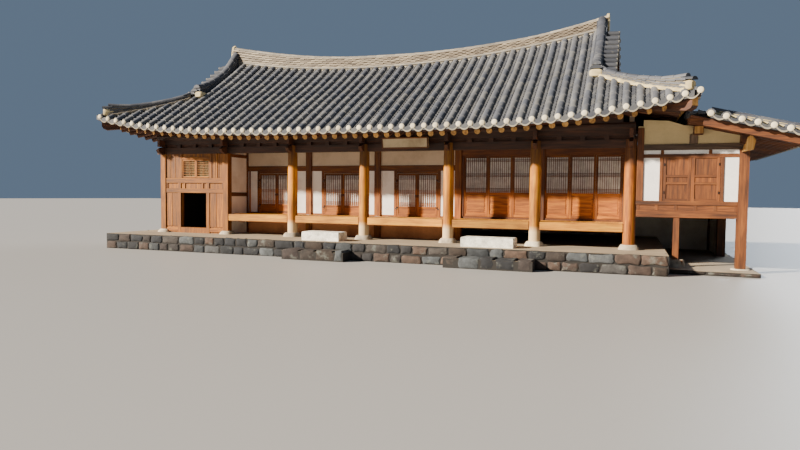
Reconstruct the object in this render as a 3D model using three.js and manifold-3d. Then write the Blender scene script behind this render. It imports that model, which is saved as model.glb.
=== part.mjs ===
// A single-storey hanok: six bays under a hip-and-gable tiled roof, with a raised seventh bay
// under a lean-to roof at its right. Millimetres, +X along the front to the right, +Y to the back,
// +Z up, with the origin on the ground under the middle of the main body.
import * as THREE from "three";
import { mergeVertices } from "three/addons/utils/BufferGeometryUtils.js";
import Module from "manifold-3d";

const wasm = await Module();
wasm.setup();

// Plan of the main body
const BAYS = [2390, 2325, 2325, 2490, 2325, 2290];
const PORCH_DEPTH = 1060;
const ROW_DEPTH = 2390;
const HALF_LENGTH = BAYS.reduce((sum, bay) => sum + bay, 0) / 2;
const HALF_DEPTH = (PORCH_DEPTH + 2 * ROW_DEPTH) / 2;
const GRID_X = BAYS.reduce((xs, bay) => [...xs, xs.at(-1) + bay], [-HALF_LENGTH]);
const FRONT_Y = -HALF_DEPTH;
const WALL_Y = FRONT_Y + PORCH_DEPTH;
const MIDDLE_Y = WALL_Y + ROW_DEPTH;
const BACK_Y = HALF_DEPTH;
const ROWS_Y = [FRONT_Y, WALL_Y, MIDDLE_Y, BACK_Y];
const KITCHEN_X = GRID_X[1];

// Plan of the raised wing
const WING_BAY = 2450;
const WING_X = HALF_LENGTH + WING_BAY;

// Levels above the ground
const PLATFORM_TOP = 460;
const STONE_TOP = PLATFORM_TOP + 120;
const FLOOR_TOP = PLATFORM_TOP + 630;
const DOOR_TOP = PLATFORM_TOP + 1990;
const HALL_TOP = PLATFORM_TOP + 2400;
const BEAM_BOTTOM = PLATFORM_TOP + 2500;
const BEAM_TOP = BEAM_BOTTOM + 200;
const BLOCK_TOP = BEAM_TOP + 100;
const BEARER_TOP = BLOCK_TOP + 130;
const PURLIN_TOP = BEARER_TOP + 200;
const ROOM_WALL_TOP = PLATFORM_TOP + 3780;

// Masonry. Steps are given by the middle and the width of each.
const PLATFORM_FRONT = 1450;
const PLATFORM_SIDE = 1000;
const PLATFORM_RIGHT = 850;
const YARD_STEP_TOP = 230;
const YARD_STEP_DEPTH = 480;
const YARD_STEPS = [
  [-670, 1800],
  [3960, 2140],
];
const STEP_STONES = [
  ["step_stone_left", -860, 1120],
  ["step_stone_right", 3770, 1320],
];
const STEP_STONE_OUT = 1120;
const STEP_STONE_DEPTH = 560;
const STEP_STONE_HEIGHT = 240;
const WING_BASE_TOP = 90;

// Openings of the windows and the kitchen door
const WING_WINDOW = {
  x0: HALF_LENGTH + 725,
  x1: HALF_LENGTH + 1975,
  z0: PLATFORM_TOP + 1190,
  z1: PLATFORM_TOP + 2280,
};
const KITCHEN_DOOR = {
  x0: -HALF_LENGTH + 680,
  x1: -HALF_LENGTH + 1660,
  z0: PLATFORM_TOP + 170,
  z1: PLATFORM_TOP + 1270,
};
const KITCHEN_WINDOW = {
  x0: -HALF_LENGTH + 730,
  x1: -HALF_LENGTH + 1790,
  z0: PLATFORM_TOP + 1750,
  z1: PLATFORM_TOP + 2320,
};

// Timber sections and gaps
const GAP = 0.3;
const COLUMN_RADIUS = 135;
const POST = 190;
const WING_POST = 210;
const BEAM_WIDTH = 130;
const PANEL = 100;
const RAIL = 130;

// Room doors
const DOOR_WIDTH = 1270;
const JAMB = 85;
const DOOR_HEAD = 75;
const DOOR_SILL = 30;
const DOOR_BAYS = [1, 2, 3];
const LEAF_DEPTH = 36;
const LEAF_SIDE_GAP = 5;
const LEAF_MIDDLE_GAP = 9;
const LEAF_END_GAP = 6;
const STILE = 55;
const LEAF_RAIL = 60;
const DOOR_FACE_Y = WALL_Y - 60;
const HINGE_RADIUS = 8;
const HINGE_OFFSET = 10;
const HINGE_HALF = 40;
const HINGE_PLATE = 50;

// Main roof. S is the surface through the middle of the round tiles.
const EAVE_CORNER = 1400;
const EAVE_BOW = 150;
const EAVE_Z = PLATFORM_TOP + 3005;
const EAVE_RISE = 580;
const EAVE_POWER = 3.6;
const RIDGE_HALF = 170;
const RIDGE_BASE_Z = PLATFORM_TOP + 5380;
const RIDGE_LOW_X = -600;
const RIDGE_RISE = { left: 510, right: 690 };
const RIDGE_POWER = 2.1;
const RIDGE_HEIGHT = 430;
const RIDGE_SWELL = { left: 100, right: 50 };
const RIDGE_PAST = 20;
const RIDGE_STEPS = 16;
const GABLE_INSET = { left: 620, right: 740 };
const ROOF_DEPTH = HALF_DEPTH - RIDGE_HALF + EAVE_CORNER;
const HIP_DEPTH = 1800;
const SLOPE_SHARE = 0.92;
const SLOPE_POWER = 4;
const SIDE_DIP = { left: 480, right: 190 };
const TILE_TOP = 40;
const FAN_X = 5600;
const FAN_Y = 1300;
const RAFTER_TIP = 200;
const RAFTER_PITCH = 300;
const SEAT_GAP = 3;
const RAFTER_DEPTH = 145;
const RAFTER_HALF = 68;
const RAFTER_FANS = 8;
const RAFTER_WEB = 20;
const HIP_RAFTER_HALF = 100;
const HIP_RAFTER_ROWS = [
  [110, 270],
  [RAFTER_TIP, 290],
  [HIP_DEPTH, 260],
];

// Ridges that fall along the gables and run on along the hips, as depth and height over the tiles
const FALLING_WIDTH = 300;
const FALLING_ROWS = [
  [HIP_DEPTH + 20, 340],
  [2100, 270],
  [2400, 200],
  [2800, 140],
  [3300, 130],
  [3700, 210],
  [ROOF_DEPTH - 2, 400],
];
const HIP_RIDGE_WIDTH = 220;
const HIP_RIDGE_ROWS = [
  [220, 380],
  [600, 270],
  [1100, 205],
  [1500, 190],
  [HIP_DEPTH + 140, 210],
];
const RIDGE_SUNK = 50;
const VERGE = 300;

// Wing roof
const WING_ROOF_SLOPE = 0.238;
const WING_ROOF_LEFT = HALF_LENGTH + 1195;
const WING_ROOF_RIGHT = HALF_LENGTH + 3740;
const WING_ROOF_OVERHANG = 1150;
const WING_ROOF_THICK = 140;
const WING_RAFTER = 120;

const woodColor = 0x9a5b2c;
const timber = new THREE.MeshStandardMaterial({ color: woodColor, roughness: 0.75, metalness: 0 });
const darkTimber = new THREE.MeshStandardMaterial({ color: 0x5a3018, roughness: 0.8, metalness: 0 });
const plaster = new THREE.MeshStandardMaterial({ color: 0xe9e4d6, roughness: 0.95, metalness: 0 });
const stone = new THREE.MeshStandardMaterial({ color: 0x85847c, roughness: 0.95, metalness: 0 });
const paleStone = new THREE.MeshStandardMaterial({ color: 0xd8d4c8, roughness: 0.9, metalness: 0 });
const tile = new THREE.MeshStandardMaterial({ color: 0x4c5058, roughness: 0.7, metalness: 0 });

const house = new THREE.Group();

// Adds one named mesh to the house.
function place(name, geometry, material) {
  const mesh = new THREE.Mesh(geometry, material);
  mesh.name = name;
  house.add(mesh);
}

// A box given by its lowest and highest corner.
function box(x0, x1, y0, y1, z0, z1) {
  const geometry = new THREE.BoxGeometry(x1 - x0, y1 - y0, z1 - z0);
  return geometry.translate((x0 + x1) / 2, (y0 + y1) / 2, (z0 + z1) / 2);
}

// An upright round piece that tapers from its bottom to its top.
function drum(x, y, bottomRadius, topRadius, z0, z1, sides) {
  const geometry = new THREE.CylinderGeometry(topRadius, bottomRadius, z1 - z0, sides);
  return geometry.rotateX(Math.PI / 2).translate(x, y, (z0 + z1) / 2);
}

// A closed geometry as a solid for boolean work.
function solid(geometry) {
  const bare = geometry.clone();
  bare.deleteAttribute("normal");
  bare.deleteAttribute("uv");
  const merged = mergeVertices(bare, 1e-3);
  return new wasm.Manifold(
    new wasm.Mesh({
      numProp: 3,
      vertProperties: new Float32Array(merged.attributes.position.array),
      triVerts: new Uint32Array(merged.index.array),
    }),
  );
}

// A solid back as a geometry.
function shape(made) {
  const mesh = made.getMesh();
  const geometry = new THREE.BufferGeometry();
  geometry.setAttribute("position", new THREE.BufferAttribute(mesh.vertProperties, 3));
  geometry.setIndex(new THREE.BufferAttribute(mesh.triVerts, 1));
  geometry.computeVertexNormals();
  return geometry;
}

function join(geometries) {
  return shape(geometries.map(solid).reduce((all, one) => all.add(one)));
}

function cut(geometry, tools) {
  return shape(tools.map(solid).reduce((all, one) => all.subtract(one), solid(geometry)));
}

// How high the line from a to d passes over the line from b to c, where they cross in plan.
function heightOver(a, d, b, c) {
  const [p, q, r] = [d.clone().sub(a), c.clone().sub(b), b.clone().sub(a)];
  const turn = p.x * q.y - p.y * q.x;
  if (Math.abs(turn) < 1) return 0;
  const onFirst = (r.x * q.y - r.y * q.x) / turn;
  const onSecond = (r.x * p.y - r.y * p.x) / turn;
  return a.z + onFirst * p.z - b.z - onSecond * q.z;
}

// A closed body through like sections, each a closed ring of Vector3. Each quad between two
// sections bends up along its higher diagonal, or down along its lower one. The faces of its two
// ends come from capOf.
function loft(sections, upward = true, capOf = capFaces) {
  const count = sections[0].length;
  const points = sections.flat();
  const faces = [];
  for (let k = 0; k < sections.length - 1; k += 1) {
    for (let j = 0; j < count; j += 1) {
      const next = (j + 1) % count;
      const [a, b] = [k * count + j, k * count + next];
      const [c, d] = [a + count, b + count];
      const rise = heightOver(points[a], points[d], points[b], points[c]);
      if (rise >= 0 === upward) faces.push([a, b, d], [a, d, c]);
      else faces.push([a, b, c], [b, d, c]);
    }
  }
  const last = (sections.length - 1) * count;
  for (const [a, b, c] of capOf(sections[0])) faces.push([a, c, b]);
  for (const [a, b, c] of capOf(sections.at(-1))) faces.push([last + a, last + b, last + c]);
  return facing(points, faces);
}

// Triangles of a section, in its wider upright plane, turned the way the ring runs.
function capFaces(section) {
  const extent = new THREE.Box3().setFromPoints(section).getSize(new THREE.Vector3());
  const across = extent.x > extent.y ? "x" : "y";
  const flat = section.map((p) => new THREE.Vector2(p[across], p.z));
  const forward = !THREE.ShapeUtils.isClockWise(flat);
  const faces = THREE.ShapeUtils.triangulateShape(flat, []);
  const sample = faces.map((f) => f.map((i) => flat[i]));
  const turned = sample.reduce((sum, f) => sum + THREE.ShapeUtils.area(f), 0) > 0;
  return forward === turned ? faces : faces.map(([a, b, c]) => [a, c, b]);
}

// A geometry from points and faces, turned so that its faces look outward.
function facing(points, faces) {
  let volume = 0;
  for (const [a, b, c] of faces) {
    volume += points[a].dot(new THREE.Vector3().crossVectors(points[b], points[c]));
  }
  const order = volume > 0 ? faces : faces.map(([a, b, c]) => [a, c, b]);
  const geometry = new THREE.BufferGeometry().setFromPoints(points);
  geometry.setIndex(order.flat());
  geometry.computeVertexNormals();
  return geometry;
}

const point = (x, y, z) => new THREE.Vector3(x, y, z);
const mix = THREE.MathUtils.lerp;
const clamp = THREE.MathUtils.clamp;
const sideOf = (x) => (x < 0 ? "left" : "right");
const gableX = (side) => HALF_LENGTH - GABLE_INSET[side];
const hipRun = (side) => HALF_LENGTH + EAVE_CORNER - gableX(side);

// Half width of the front slope, from the middle to its edge, at a depth from the eave.
function slopeHalf(side, depth) {
  const share = Math.min(depth / HIP_DEPTH, 1);
  return HALF_LENGTH + EAVE_CORNER - hipRun(side) * share;
}

// Height of the eave and of the foot of the main ridge along the front.
function eaveZ(x) {
  return EAVE_Z + EAVE_RISE * Math.abs(x / (HALF_LENGTH + EAVE_CORNER)) ** EAVE_POWER;
}

function ridgeFootZ(x) {
  return RIDGE_BASE_Z + RIDGE_RISE[ridgeSide(x)] * ridgeShare(x) ** RIDGE_POWER;
}

// The main ridge is lowest a little left of the middle. This is how far a place on it lies from
// there, as a share of the way to its end.
const ridgeSide = (x) => (x < RIDGE_LOW_X ? "left" : "right");

function ridgeShare(x) {
  const end = x < RIDGE_LOW_X ? -gableX("left") : gableX("right");
  return (x - RIDGE_LOW_X) / (end - RIDGE_LOW_X);
}

// Share of the climb from the eave to the ridge at a share of the depth.
const climb = (share) => SLOPE_SHARE * share + (1 - SLOPE_SHARE) * share ** SLOPE_POWER;

// A point of S on the front slope. u runs from -1 to 1, from the left hip to the right one.
function frontPoint(u, depth) {
  const side = sideOf(u);
  const fan = FAN_X / (HALF_LENGTH + EAVE_CORNER);
  const share = clamp((Math.abs(u) - fan) / (1 - fan), 0, 1);
  const straight = (Math.min(Math.abs(u), fan) / fan) * FAN_X;
  const x = Math.sign(u) * (straight + share * (slopeHalf(side, depth) - FAN_X));
  const bow = EAVE_BOW * (1 - Math.abs(u) ** 3) * Math.max(0, 1 - depth / HIP_DEPTH);
  const inner = clamp(x, -gableX("left"), gableX("right"));
  const z = eaveZ(x) + (ridgeFootZ(inner) - eaveZ(inner)) * climb(depth / ROOF_DEPTH);
  return point(x, FRONT_Y - EAVE_CORNER + depth + bow, z);
}

// A point of S on the left or right slope. u runs from -1 to 1, from the front hip to the back one.
function sidePoint(side, u, depth) {
  const hip = frontPoint(side === "left" ? -1 : 1, depth);
  const fan = FAN_Y / (HALF_DEPTH + EAVE_CORNER);
  const share = clamp((Math.abs(u) - fan) / (1 - fan), 0, 1);
  const straight = (Math.min(Math.abs(u), fan) / fan) * FAN_Y;
  const y = Math.sign(u) * (straight + share * (-hip.y - FAN_Y));
  const lower = 1 - depth / HIP_DEPTH;
  const bow = EAVE_BOW * (1 - Math.abs(u) ** 3) * lower;
  const dip = mix(100, SIDE_DIP[side], lower) * (1 - Math.abs(u) ** 2.4);
  return point(hip.x - Math.sign(hip.x) * bow, y, hip.z - dip);
}

// How far the underside of the roof lies below S. It is straight along the rafters.
function drop(depth) {
  if (depth <= RAFTER_TIP) return mix(80, 160, depth / RAFTER_TIP);
  if (depth <= HIP_DEPTH) return 530;
  return 550;
}

const raised = (p, dz) => point(p.x, p.y, p.z + dz);
const mirrored = (p) => point(p.x, -p.y, p.z);

// Shares along a slope: even steps in the straight middle and finer ones in the fans.
function columns(fan, middleSteps, fanSteps) {
  const right = [];
  for (let i = 1; i <= fanSteps; i += 1) right.push(mix(fan, 1, i / fanSteps));
  const middle = [];
  for (let i = 0; i <= middleSteps; i += 1) middle.push(mix(-fan, fan, i / middleSteps));
  return [...right.map((u) => -u).reverse(), ...middle, ...right];
}

const FRONT_FAN = FAN_X / (HALF_LENGTH + EAVE_CORNER);
const SIDE_FAN = FAN_Y / (HALF_DEPTH + EAVE_CORNER);
const FRONT_COLUMNS = columns(FRONT_FAN, 14, 5);
const SIDE_COLUMNS = columns(SIDE_FAN, 4, 5);
const TOP_ROWS = [0, RAFTER_TIP, 1000, HIP_DEPTH, 2900, 3600, ROOF_DEPTH];
const UNDER_ROWS = [0, RAFTER_TIP, HIP_DEPTH, ROOF_DEPTH];

// One slope of the roof as a closed slab of tiles, earth and boards.
function slopeSlab(at, us, deepest) {
  const topRows = TOP_ROWS.filter((depth) => depth <= deepest);
  const underRows = UNDER_ROWS.filter((depth) => depth <= deepest).reverse();
  const sections = us.map((u) => {
    const top = topRows.map((depth) => raised(at(u, depth), TILE_TOP));
    const under = underRows.map((depth) => raised(at(u, depth), -drop(depth)));
    return [...top, ...under];
  });
  return loft(sections, true, () => stripCap([...topRows, ...underRows], topRows.length));
}

// A comb of rafters under one slope: a thin web that follows the slab's underside at its columns,
// us, with one tooth for each rafter. teeth holds the rafters' shares along the slope.
function rafterComb(at, us, teeth, half) {
  const below = [[us[0], RAFTER_WEB]];
  for (const u of teeth) {
    below.push([u - half, RAFTER_WEB], [u - half * 0.8, RAFTER_DEPTH]);
    below.push([u + half * 0.8, RAFTER_DEPTH], [u + half, RAFTER_WEB]);
  }
  below.push([us.at(-1), RAFTER_WEB]);
  const ring = [...us.map((u) => [u, 0]), ...below.reverse()];
  const sections = [RAFTER_TIP, HIP_DEPTH].map((depth) => {
    return ring.map(([u, dz]) => raised(at(u, depth), -drop(depth) - GAP - dz));
  });
  return loft(sections, true, () => stripCap(ring.map(([u]) => u), us.length));
}

// The end faces of a slab or comb, in narrow strips between the ring's top points and its lower
// ones. shares holds each point's place along the end.
function stripCap(shares, topCount) {
  const faces = [];
  let [top, low] = [0, shares.length - 1];
  while (top < topCount - 1 || low > topCount) {
    const lowDone = low === topCount;
    if (lowDone || (top < topCount - 1 && shares[top + 1] <= shares[low - 1])) {
      faces.push([top, top + 1, low]);
      top += 1;
    } else {
      faces.push([low - 1, low, top]);
      low -= 1;
    }
  }
  return faces;
}

// The roof surface under a slope is flat between its columns, so a rafter's point there is
// mixed from the two columns beside it.
function onColumns(at, us) {
  return (u, depth) => {
    const right = clamp(us.findIndex((c) => c >= u), 1, us.length - 1);
    const share = (u - us[right - 1]) / (us[right] - us[right - 1]);
    return at(us[right - 1], depth).lerp(at(us[right], depth), share);
  };
}

// Shares of the rafters along a slope, even in the middle and spread evenly over each fan.
function rafterShares(fan, fanLength) {
  const steps = Math.round((2 * fanLength) / RAFTER_PITCH);
  const middle = [];
  for (let i = 0; i <= steps; i += 1) middle.push(mix(-fan, fan, i / steps));
  const right = [];
  for (let i = 1; i <= RAFTER_FANS; i += 1) right.push(mix(fan, 1, i / (RAFTER_FANS + 0.6)));
  return [...right.map((u) => -u).reverse(), ...middle, ...right];
}

// The level direction square to a front hip.
function hipAcross(side) {
  const sign = side === "left" ? -1 : 1;
  return point(HIP_DEPTH, sign * hipRun(side), 0).normalize();
}

// A hip rafter: a deep beam under the hip line that runs out to the corner of the eave, swollen
// by a margin where it cuts its neighbours. Its top goes into the roof, which cuts it.
function hipRafter(side, way, margin = 0) {
  const sign = side === "left" ? -1 : 1;
  const half = hipAcross(side).multiplyScalar(-HIP_RAFTER_HALF - margin);
  const sections = HIP_RAFTER_ROWS.map(([row, height]) => {
    const depth = row === HIP_DEPTH ? row + margin : row;
    const middle = raised(frontPoint(sign, depth), -drop(depth));
    const [crown, foot] = [raised(middle, 30), raised(middle, -height - margin)];
    const ring = [
      crown.clone().add(half),
      foot.clone().add(half),
      foot.clone().sub(half),
      crown.clone().sub(half),
    ];
    return ring.map(way);
  });
  return loft(sections);
}

// Two hip rafters, swollen by a gap, as tools that cut the beams under them.
function hipTools(sideA, wayA, sideB, wayB) {
  return [hipRafter(sideA, wayA, GAP), hipRafter(sideB, wayB, GAP)];
}

const same = (p) => p;

// The front slope's slab, or the back one's where way mirrors it.
function longSlab(way) {
  return slopeSlab((u, depth) => way(frontPoint(u, depth)), FRONT_COLUMNS, ROOF_DEPTH);
}

// The left or right slope's slab, short of the hips by a seam.
function sideSlab(side, seam) {
  const at = (u, depth) => {
    const p = sidePoint(side, u, depth);
    return Math.abs(u) === 1 ? point(p.x, p.y - u * seam, p.z) : p;
  };
  return slopeSlab(at, SIDE_COLUMNS, HIP_DEPTH);
}

// All slabs that reach one long slope, moved up or down, as tools that cut what meets them.
function slopeTools(way, rise) {
  const slabs = [longSlab(way), sideSlab("left", -GAP), sideSlab("right", -GAP)];
  return slabs.map((slab) => slab.translate(0, 0, rise));
}

// Front and back rafters, each with its two hip rafters, and the side rafters between them.
function buildRafters() {
  const stop = 0.985;
  const us = [-stop, ...FRONT_COLUMNS.slice(1, -1), stop];
  const shares = rafterShares(FRONT_FAN, FAN_X).filter((u) => Math.abs(u) < 0.97);
  const half = RAFTER_HALF / (HALF_LENGTH + EAVE_CORNER);
  for (const [name, way] of [["front_rafters", same], ["back_rafters", mirrored]]) {
    const at = onColumns((u, depth) => way(frontPoint(u, depth)), FRONT_COLUMNS);
    const hips = ["left", "right"].map((side) => hipRafter(side, way));
    const tools = slopeTools(way, -2 * GAP);
    place(name, join([rafterComb(at, us, shares, half), cut(join(hips), tools)]), timber);
  }
  for (const side of ["left", "right"]) {
    const sideStop = 0.945;
    const sideUs = [-sideStop, ...SIDE_COLUMNS.filter((u) => Math.abs(u) < sideStop), sideStop];
    const sideAt = onColumns((u, d) => sidePoint(side, u, d), SIDE_COLUMNS);
    const sideShares = rafterShares(SIDE_FAN, FAN_Y).filter((u) => Math.abs(u) < 0.92);
    const sideHalf = RAFTER_HALF / (HALF_DEPTH + EAVE_CORNER);
    const comb = rafterComb(sideAt, sideUs, sideShares, sideHalf);
    const hips = [same, mirrored].map((way) => hipRafter(side, way, GAP));
    place(`${side}_rafters`, cut(comb, hips), timber);
  }
}

// The four slopes of the main roof.
function buildSlopes() {
  place("roof_front", longSlab(same), tile);
  place("roof_back", longSlab(mirrored), tile);
  place("roof_left", sideSlab("left", GAP), tile);
  place("roof_right", sideSlab("right", GAP), tile);
}

// The main ridge: a wall of flat tiles that sags in the middle and stands between both slopes.
function mainRidge(margin) {
  const past = RIDGE_PAST + margin;
  const [x0, x1] = [-gableX("left") - past, gableX("right") + past];
  const half = RIDGE_HALF - GAP + margin;
  const sections = [];
  for (let i = 0; i <= RIDGE_STEPS; i += 1) {
    const x = mix(x0, x1, i / RIDGE_STEPS);
    const foot = ridgeFootZ(clamp(x, -gableX("left"), gableX("right"))) - 150 - margin;
    const top = ridgeFootZ(x) + RIDGE_HEIGHT + RIDGE_SWELL[ridgeSide(x)] * ridgeShare(x) ** 2;
    sections.push([
      point(x, -half, foot),
      point(x, half, foot),
      point(x, half, top - 60),
      point(x, half * 0.6, top),
      point(x, -half * 0.6, top),
      point(x, -half, top - 60),
    ]);
  }
  return loft(sections);
}

// A ridge of tiles along a run of points, with a flat foot and a rounded top.
function ridgeBar(stations, across) {
  const sections = stations.map(([p, height, width]) => {
    const side = across.clone().multiplyScalar(width / 2);
    return [
      p.clone().add(side),
      raised(p, height - 50).add(side),
      raised(p, height).add(side.clone().multiplyScalar(0.5)),
      raised(p, height).sub(side.clone().multiplyScalar(0.5)),
      raised(p, height - 50).sub(side),
      p.clone().sub(side),
    ];
  });
  return loft(sections);
}

// Each corner's ridges: one falls along the gable and one runs on along the hip. Their feet go
// into the roof, which cuts them.
function buildCornerRidges() {
  for (const side of ["left", "right"]) {
    const sign = side === "left" ? -1 : 1;
    const x = sign * (gableX(side) - FALLING_WIDTH / 2);
    for (const [end, way] of [["front", same], ["back", mirrored]]) {
      const falling = FALLING_ROWS.map(([depth, height]) => {
        const edge = frontPoint(sign, depth);
        const foot = way(point(x, edge.y, edge.z + TILE_TOP - RIDGE_SUNK));
        return [foot, height + RIDGE_SUNK, FALLING_WIDTH];
      });
      const hip = HIP_RIDGE_ROWS.map(([depth, height]) => {
        const foot = way(raised(frontPoint(sign, depth), TILE_TOP - RIDGE_SUNK));
        return [foot, height + RIDGE_SUNK, HIP_RIDGE_WIDTH];
      });
      const bars = join([ridgeBar(falling, point(1, 0, 0)), ridgeBar(hip, way(hipAcross(side)))]);
      const tools = [...slopeTools(way, 2 * GAP), gable(side).translate(0, 0, 2 * GAP)];
      place(`ridge_${end}_${side}`, cut(bars, tools), tile);
    }
  }
}

// A gable: a plastered wall on the side slope, with an overhanging verge of boards and tiles.
function gable(side) {
  const rows = [HIP_DEPTH + 150, 2900, 3600, ROOF_DEPTH - 5];
  const sign = side === "left" ? -1 : 1;
  const x = sign * (gableX(side) + GAP);
  const edge = rows.map((depth) => raised(frontPoint(sign, depth), TILE_TOP - 5));
  const crown = point(edge.at(-1).x, 0, edge.at(-1).z);
  const foot = SIDE_COLUMNS.map((u) => raised(sidePoint(side, u, HIP_DEPTH), TILE_TOP + GAP));
  const inner = foot.filter((p) => Math.abs(p.y) < Math.abs(edge[0].y));
  const outer = [...edge, crown, ...edge.map(mirrored).reverse()];
  const wall = slabAlongX([...outer, ...inner.reverse()], x, x + sign * 70);
  const band = [...outer, ...outer.map((p) => raised(p, -260)).reverse()];
  const verge = slabAlongX(band, x, x + sign * VERGE);
  const slab = sideSlab(side, -GAP).translate(0, 0, 2 * GAP);
  return cut(join([wall, verge]), [slab, mainRidge(GAP)]);
}

// A flat outline in Y and Z, given real thickness between two places along X.
function slabAlongX(outline, x0, x1) {
  return loft([x0, x1].map((x) => outline.map((p) => point(x, p.y, p.z))));
}

// The underside of the rafters over an upright plane, at each column of a slope. The plane is at
// a value of x or of y.
function rafterSeat(at, us, axis, value) {
  return us.map((u) => {
    const outer = raised(at(u, RAFTER_TIP), -drop(RAFTER_TIP) - RAFTER_DEPTH - SEAT_GAP);
    const inner = raised(at(u, HIP_DEPTH), -drop(HIP_DEPTH) - RAFTER_DEPTH - SEAT_GAP);
    return outer.clone().lerp(inner, (value - outer[axis]) / (inner[axis] - outer[axis]));
  });
}

// The wedge that fills between a wall's beam and the rafters, as they rise to the corners.
function wedge(at, us, axis, line, reach, foot) {
  const half = 60;
  const seats = [line - half, line + half].map((value) => rafterSeat(at, us, axis, value));
  const along = axis === "y" ? "x" : "y";
  const sections = seats[0].map((p, i) => {
    const q = seats[1][i];
    return [raised(p, foot - p.z), raised(q, foot - q.z), q, p];
  });
  return loft(sections.filter((ring) => Math.abs(ring[2][along]) < reach), false);
}

function frontWedge() {
  return wedge(frontPoint, FRONT_COLUMNS, "y", FRONT_Y, HALF_LENGTH - 20, PURLIN_TOP - 60);
}

function sideWedge(side) {
  const line = side === "left" ? -HALF_LENGTH : HALF_LENGTH;
  const at = (u, depth) => sidePoint(side, u, depth);
  return wedge(at, SIDE_COLUMNS, "x", line, HALF_DEPTH - 200, PURLIN_TOP - 80);
}

// A round purlin along X.
function purlinX(x0, x1, y) {
  const radius = (PURLIN_TOP - BEARER_TOP) / 2;
  const geometry = new THREE.CylinderGeometry(radius, radius, x1 - x0, 10);
  return geometry.rotateZ(Math.PI / 2).translate((x0 + x1) / 2, y, PURLIN_TOP - radius);
}

// The stone platform with its two yard steps, and the low base under the wing.
function buildMasonry() {
  const left = -HALF_LENGTH - PLATFORM_SIDE;
  const right = HALF_LENGTH + PLATFORM_RIGHT;
  const front = FRONT_Y - PLATFORM_FRONT;
  const slab = box(left, right, front, BACK_Y + PLATFORM_SIDE, 0, PLATFORM_TOP);
  const steps = YARD_STEPS.map(([middle, width]) => {
    const half = width / 2;
    return box(middle - half, middle + half, front - YARD_STEP_DEPTH, front + 10, 0, YARD_STEP_TOP);
  });
  place("stone_platform", join([slab, ...steps]), stone);
  const base = box(right, WING_X + 300, FRONT_Y - 800, BACK_Y + 300, 0, WING_BASE_TOP);
  place("wing_base", base, stone);
}

// The two pale blocks that serve as steps up to the porch.
function buildStepStones() {
  const front = FRONT_Y - STEP_STONE_OUT;
  const top = PLATFORM_TOP + STEP_STONE_HEIGHT;
  for (const [name, middle, width] of STEP_STONES) {
    const [x0, x1] = [middle - width / 2, middle + width / 2];
    place(name, box(x0, x1, front, front + STEP_STONE_DEPTH, PLATFORM_TOP, top), paleStone);
  }
}

// The five round columns, each on its own stone and slotted at its head for the front beam.
function buildColumns() {
  for (let i = 2; i < GRID_X.length; i += 1) {
    const x = GRID_X[i];
    const base = drum(x, FRONT_Y, 250, 200, PLATFORM_TOP, STONE_TOP, 12);
    const shaft = drum(x, FRONT_Y, COLUMN_RADIUS + 8, COLUMN_RADIUS, STONE_TOP - 10, BEAM_TOP, 12);
    const [y0, y1] = [FRONT_Y - BEAM_WIDTH / 2, FRONT_Y + BEAM_WIDTH / 2];
    const slot = box(x - 300, x + 300, y0, y1, BEAM_BOTTOM, BEAM_TOP + 10);
    place(`front_column_${i}`, cut(join([base, shaft]), [slot]), timber);
  }
}

// The front beam: tie beam, a row of small blocks, bearer, purlin and the wedge up to the rafters.
function buildFrontBeam() {
  const [x0, x1] = [-HALF_LENGTH - 250, HALF_LENGTH + 100];
  const half = BEAM_WIDTH / 2;
  const pieces = [
    box(x0, x1, FRONT_Y - half, FRONT_Y + half, BEAM_BOTTOM, BEAM_TOP),
    box(x0, x1, FRONT_Y - 55, FRONT_Y + 55, BLOCK_TOP, BEARER_TOP + 30),
    purlinX(x0, x1, FRONT_Y),
    frontWedge(),
  ];
  for (let i = 0; i < BAYS.length; i += 1) {
    for (let k = 0; k < 4; k += 1) {
      const x = mix(GRID_X[i], GRID_X[i + 1], k / 4);
      pieces.push(box(x - 60, x + 60, FRONT_Y - 60, FRONT_Y + 60, BEAM_TOP - 5, BLOCK_TOP + 5));
    }
  }
  place("front_beam", cut(join(pieces), hipTools("left", same, "right", same)), timber);
}

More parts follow.
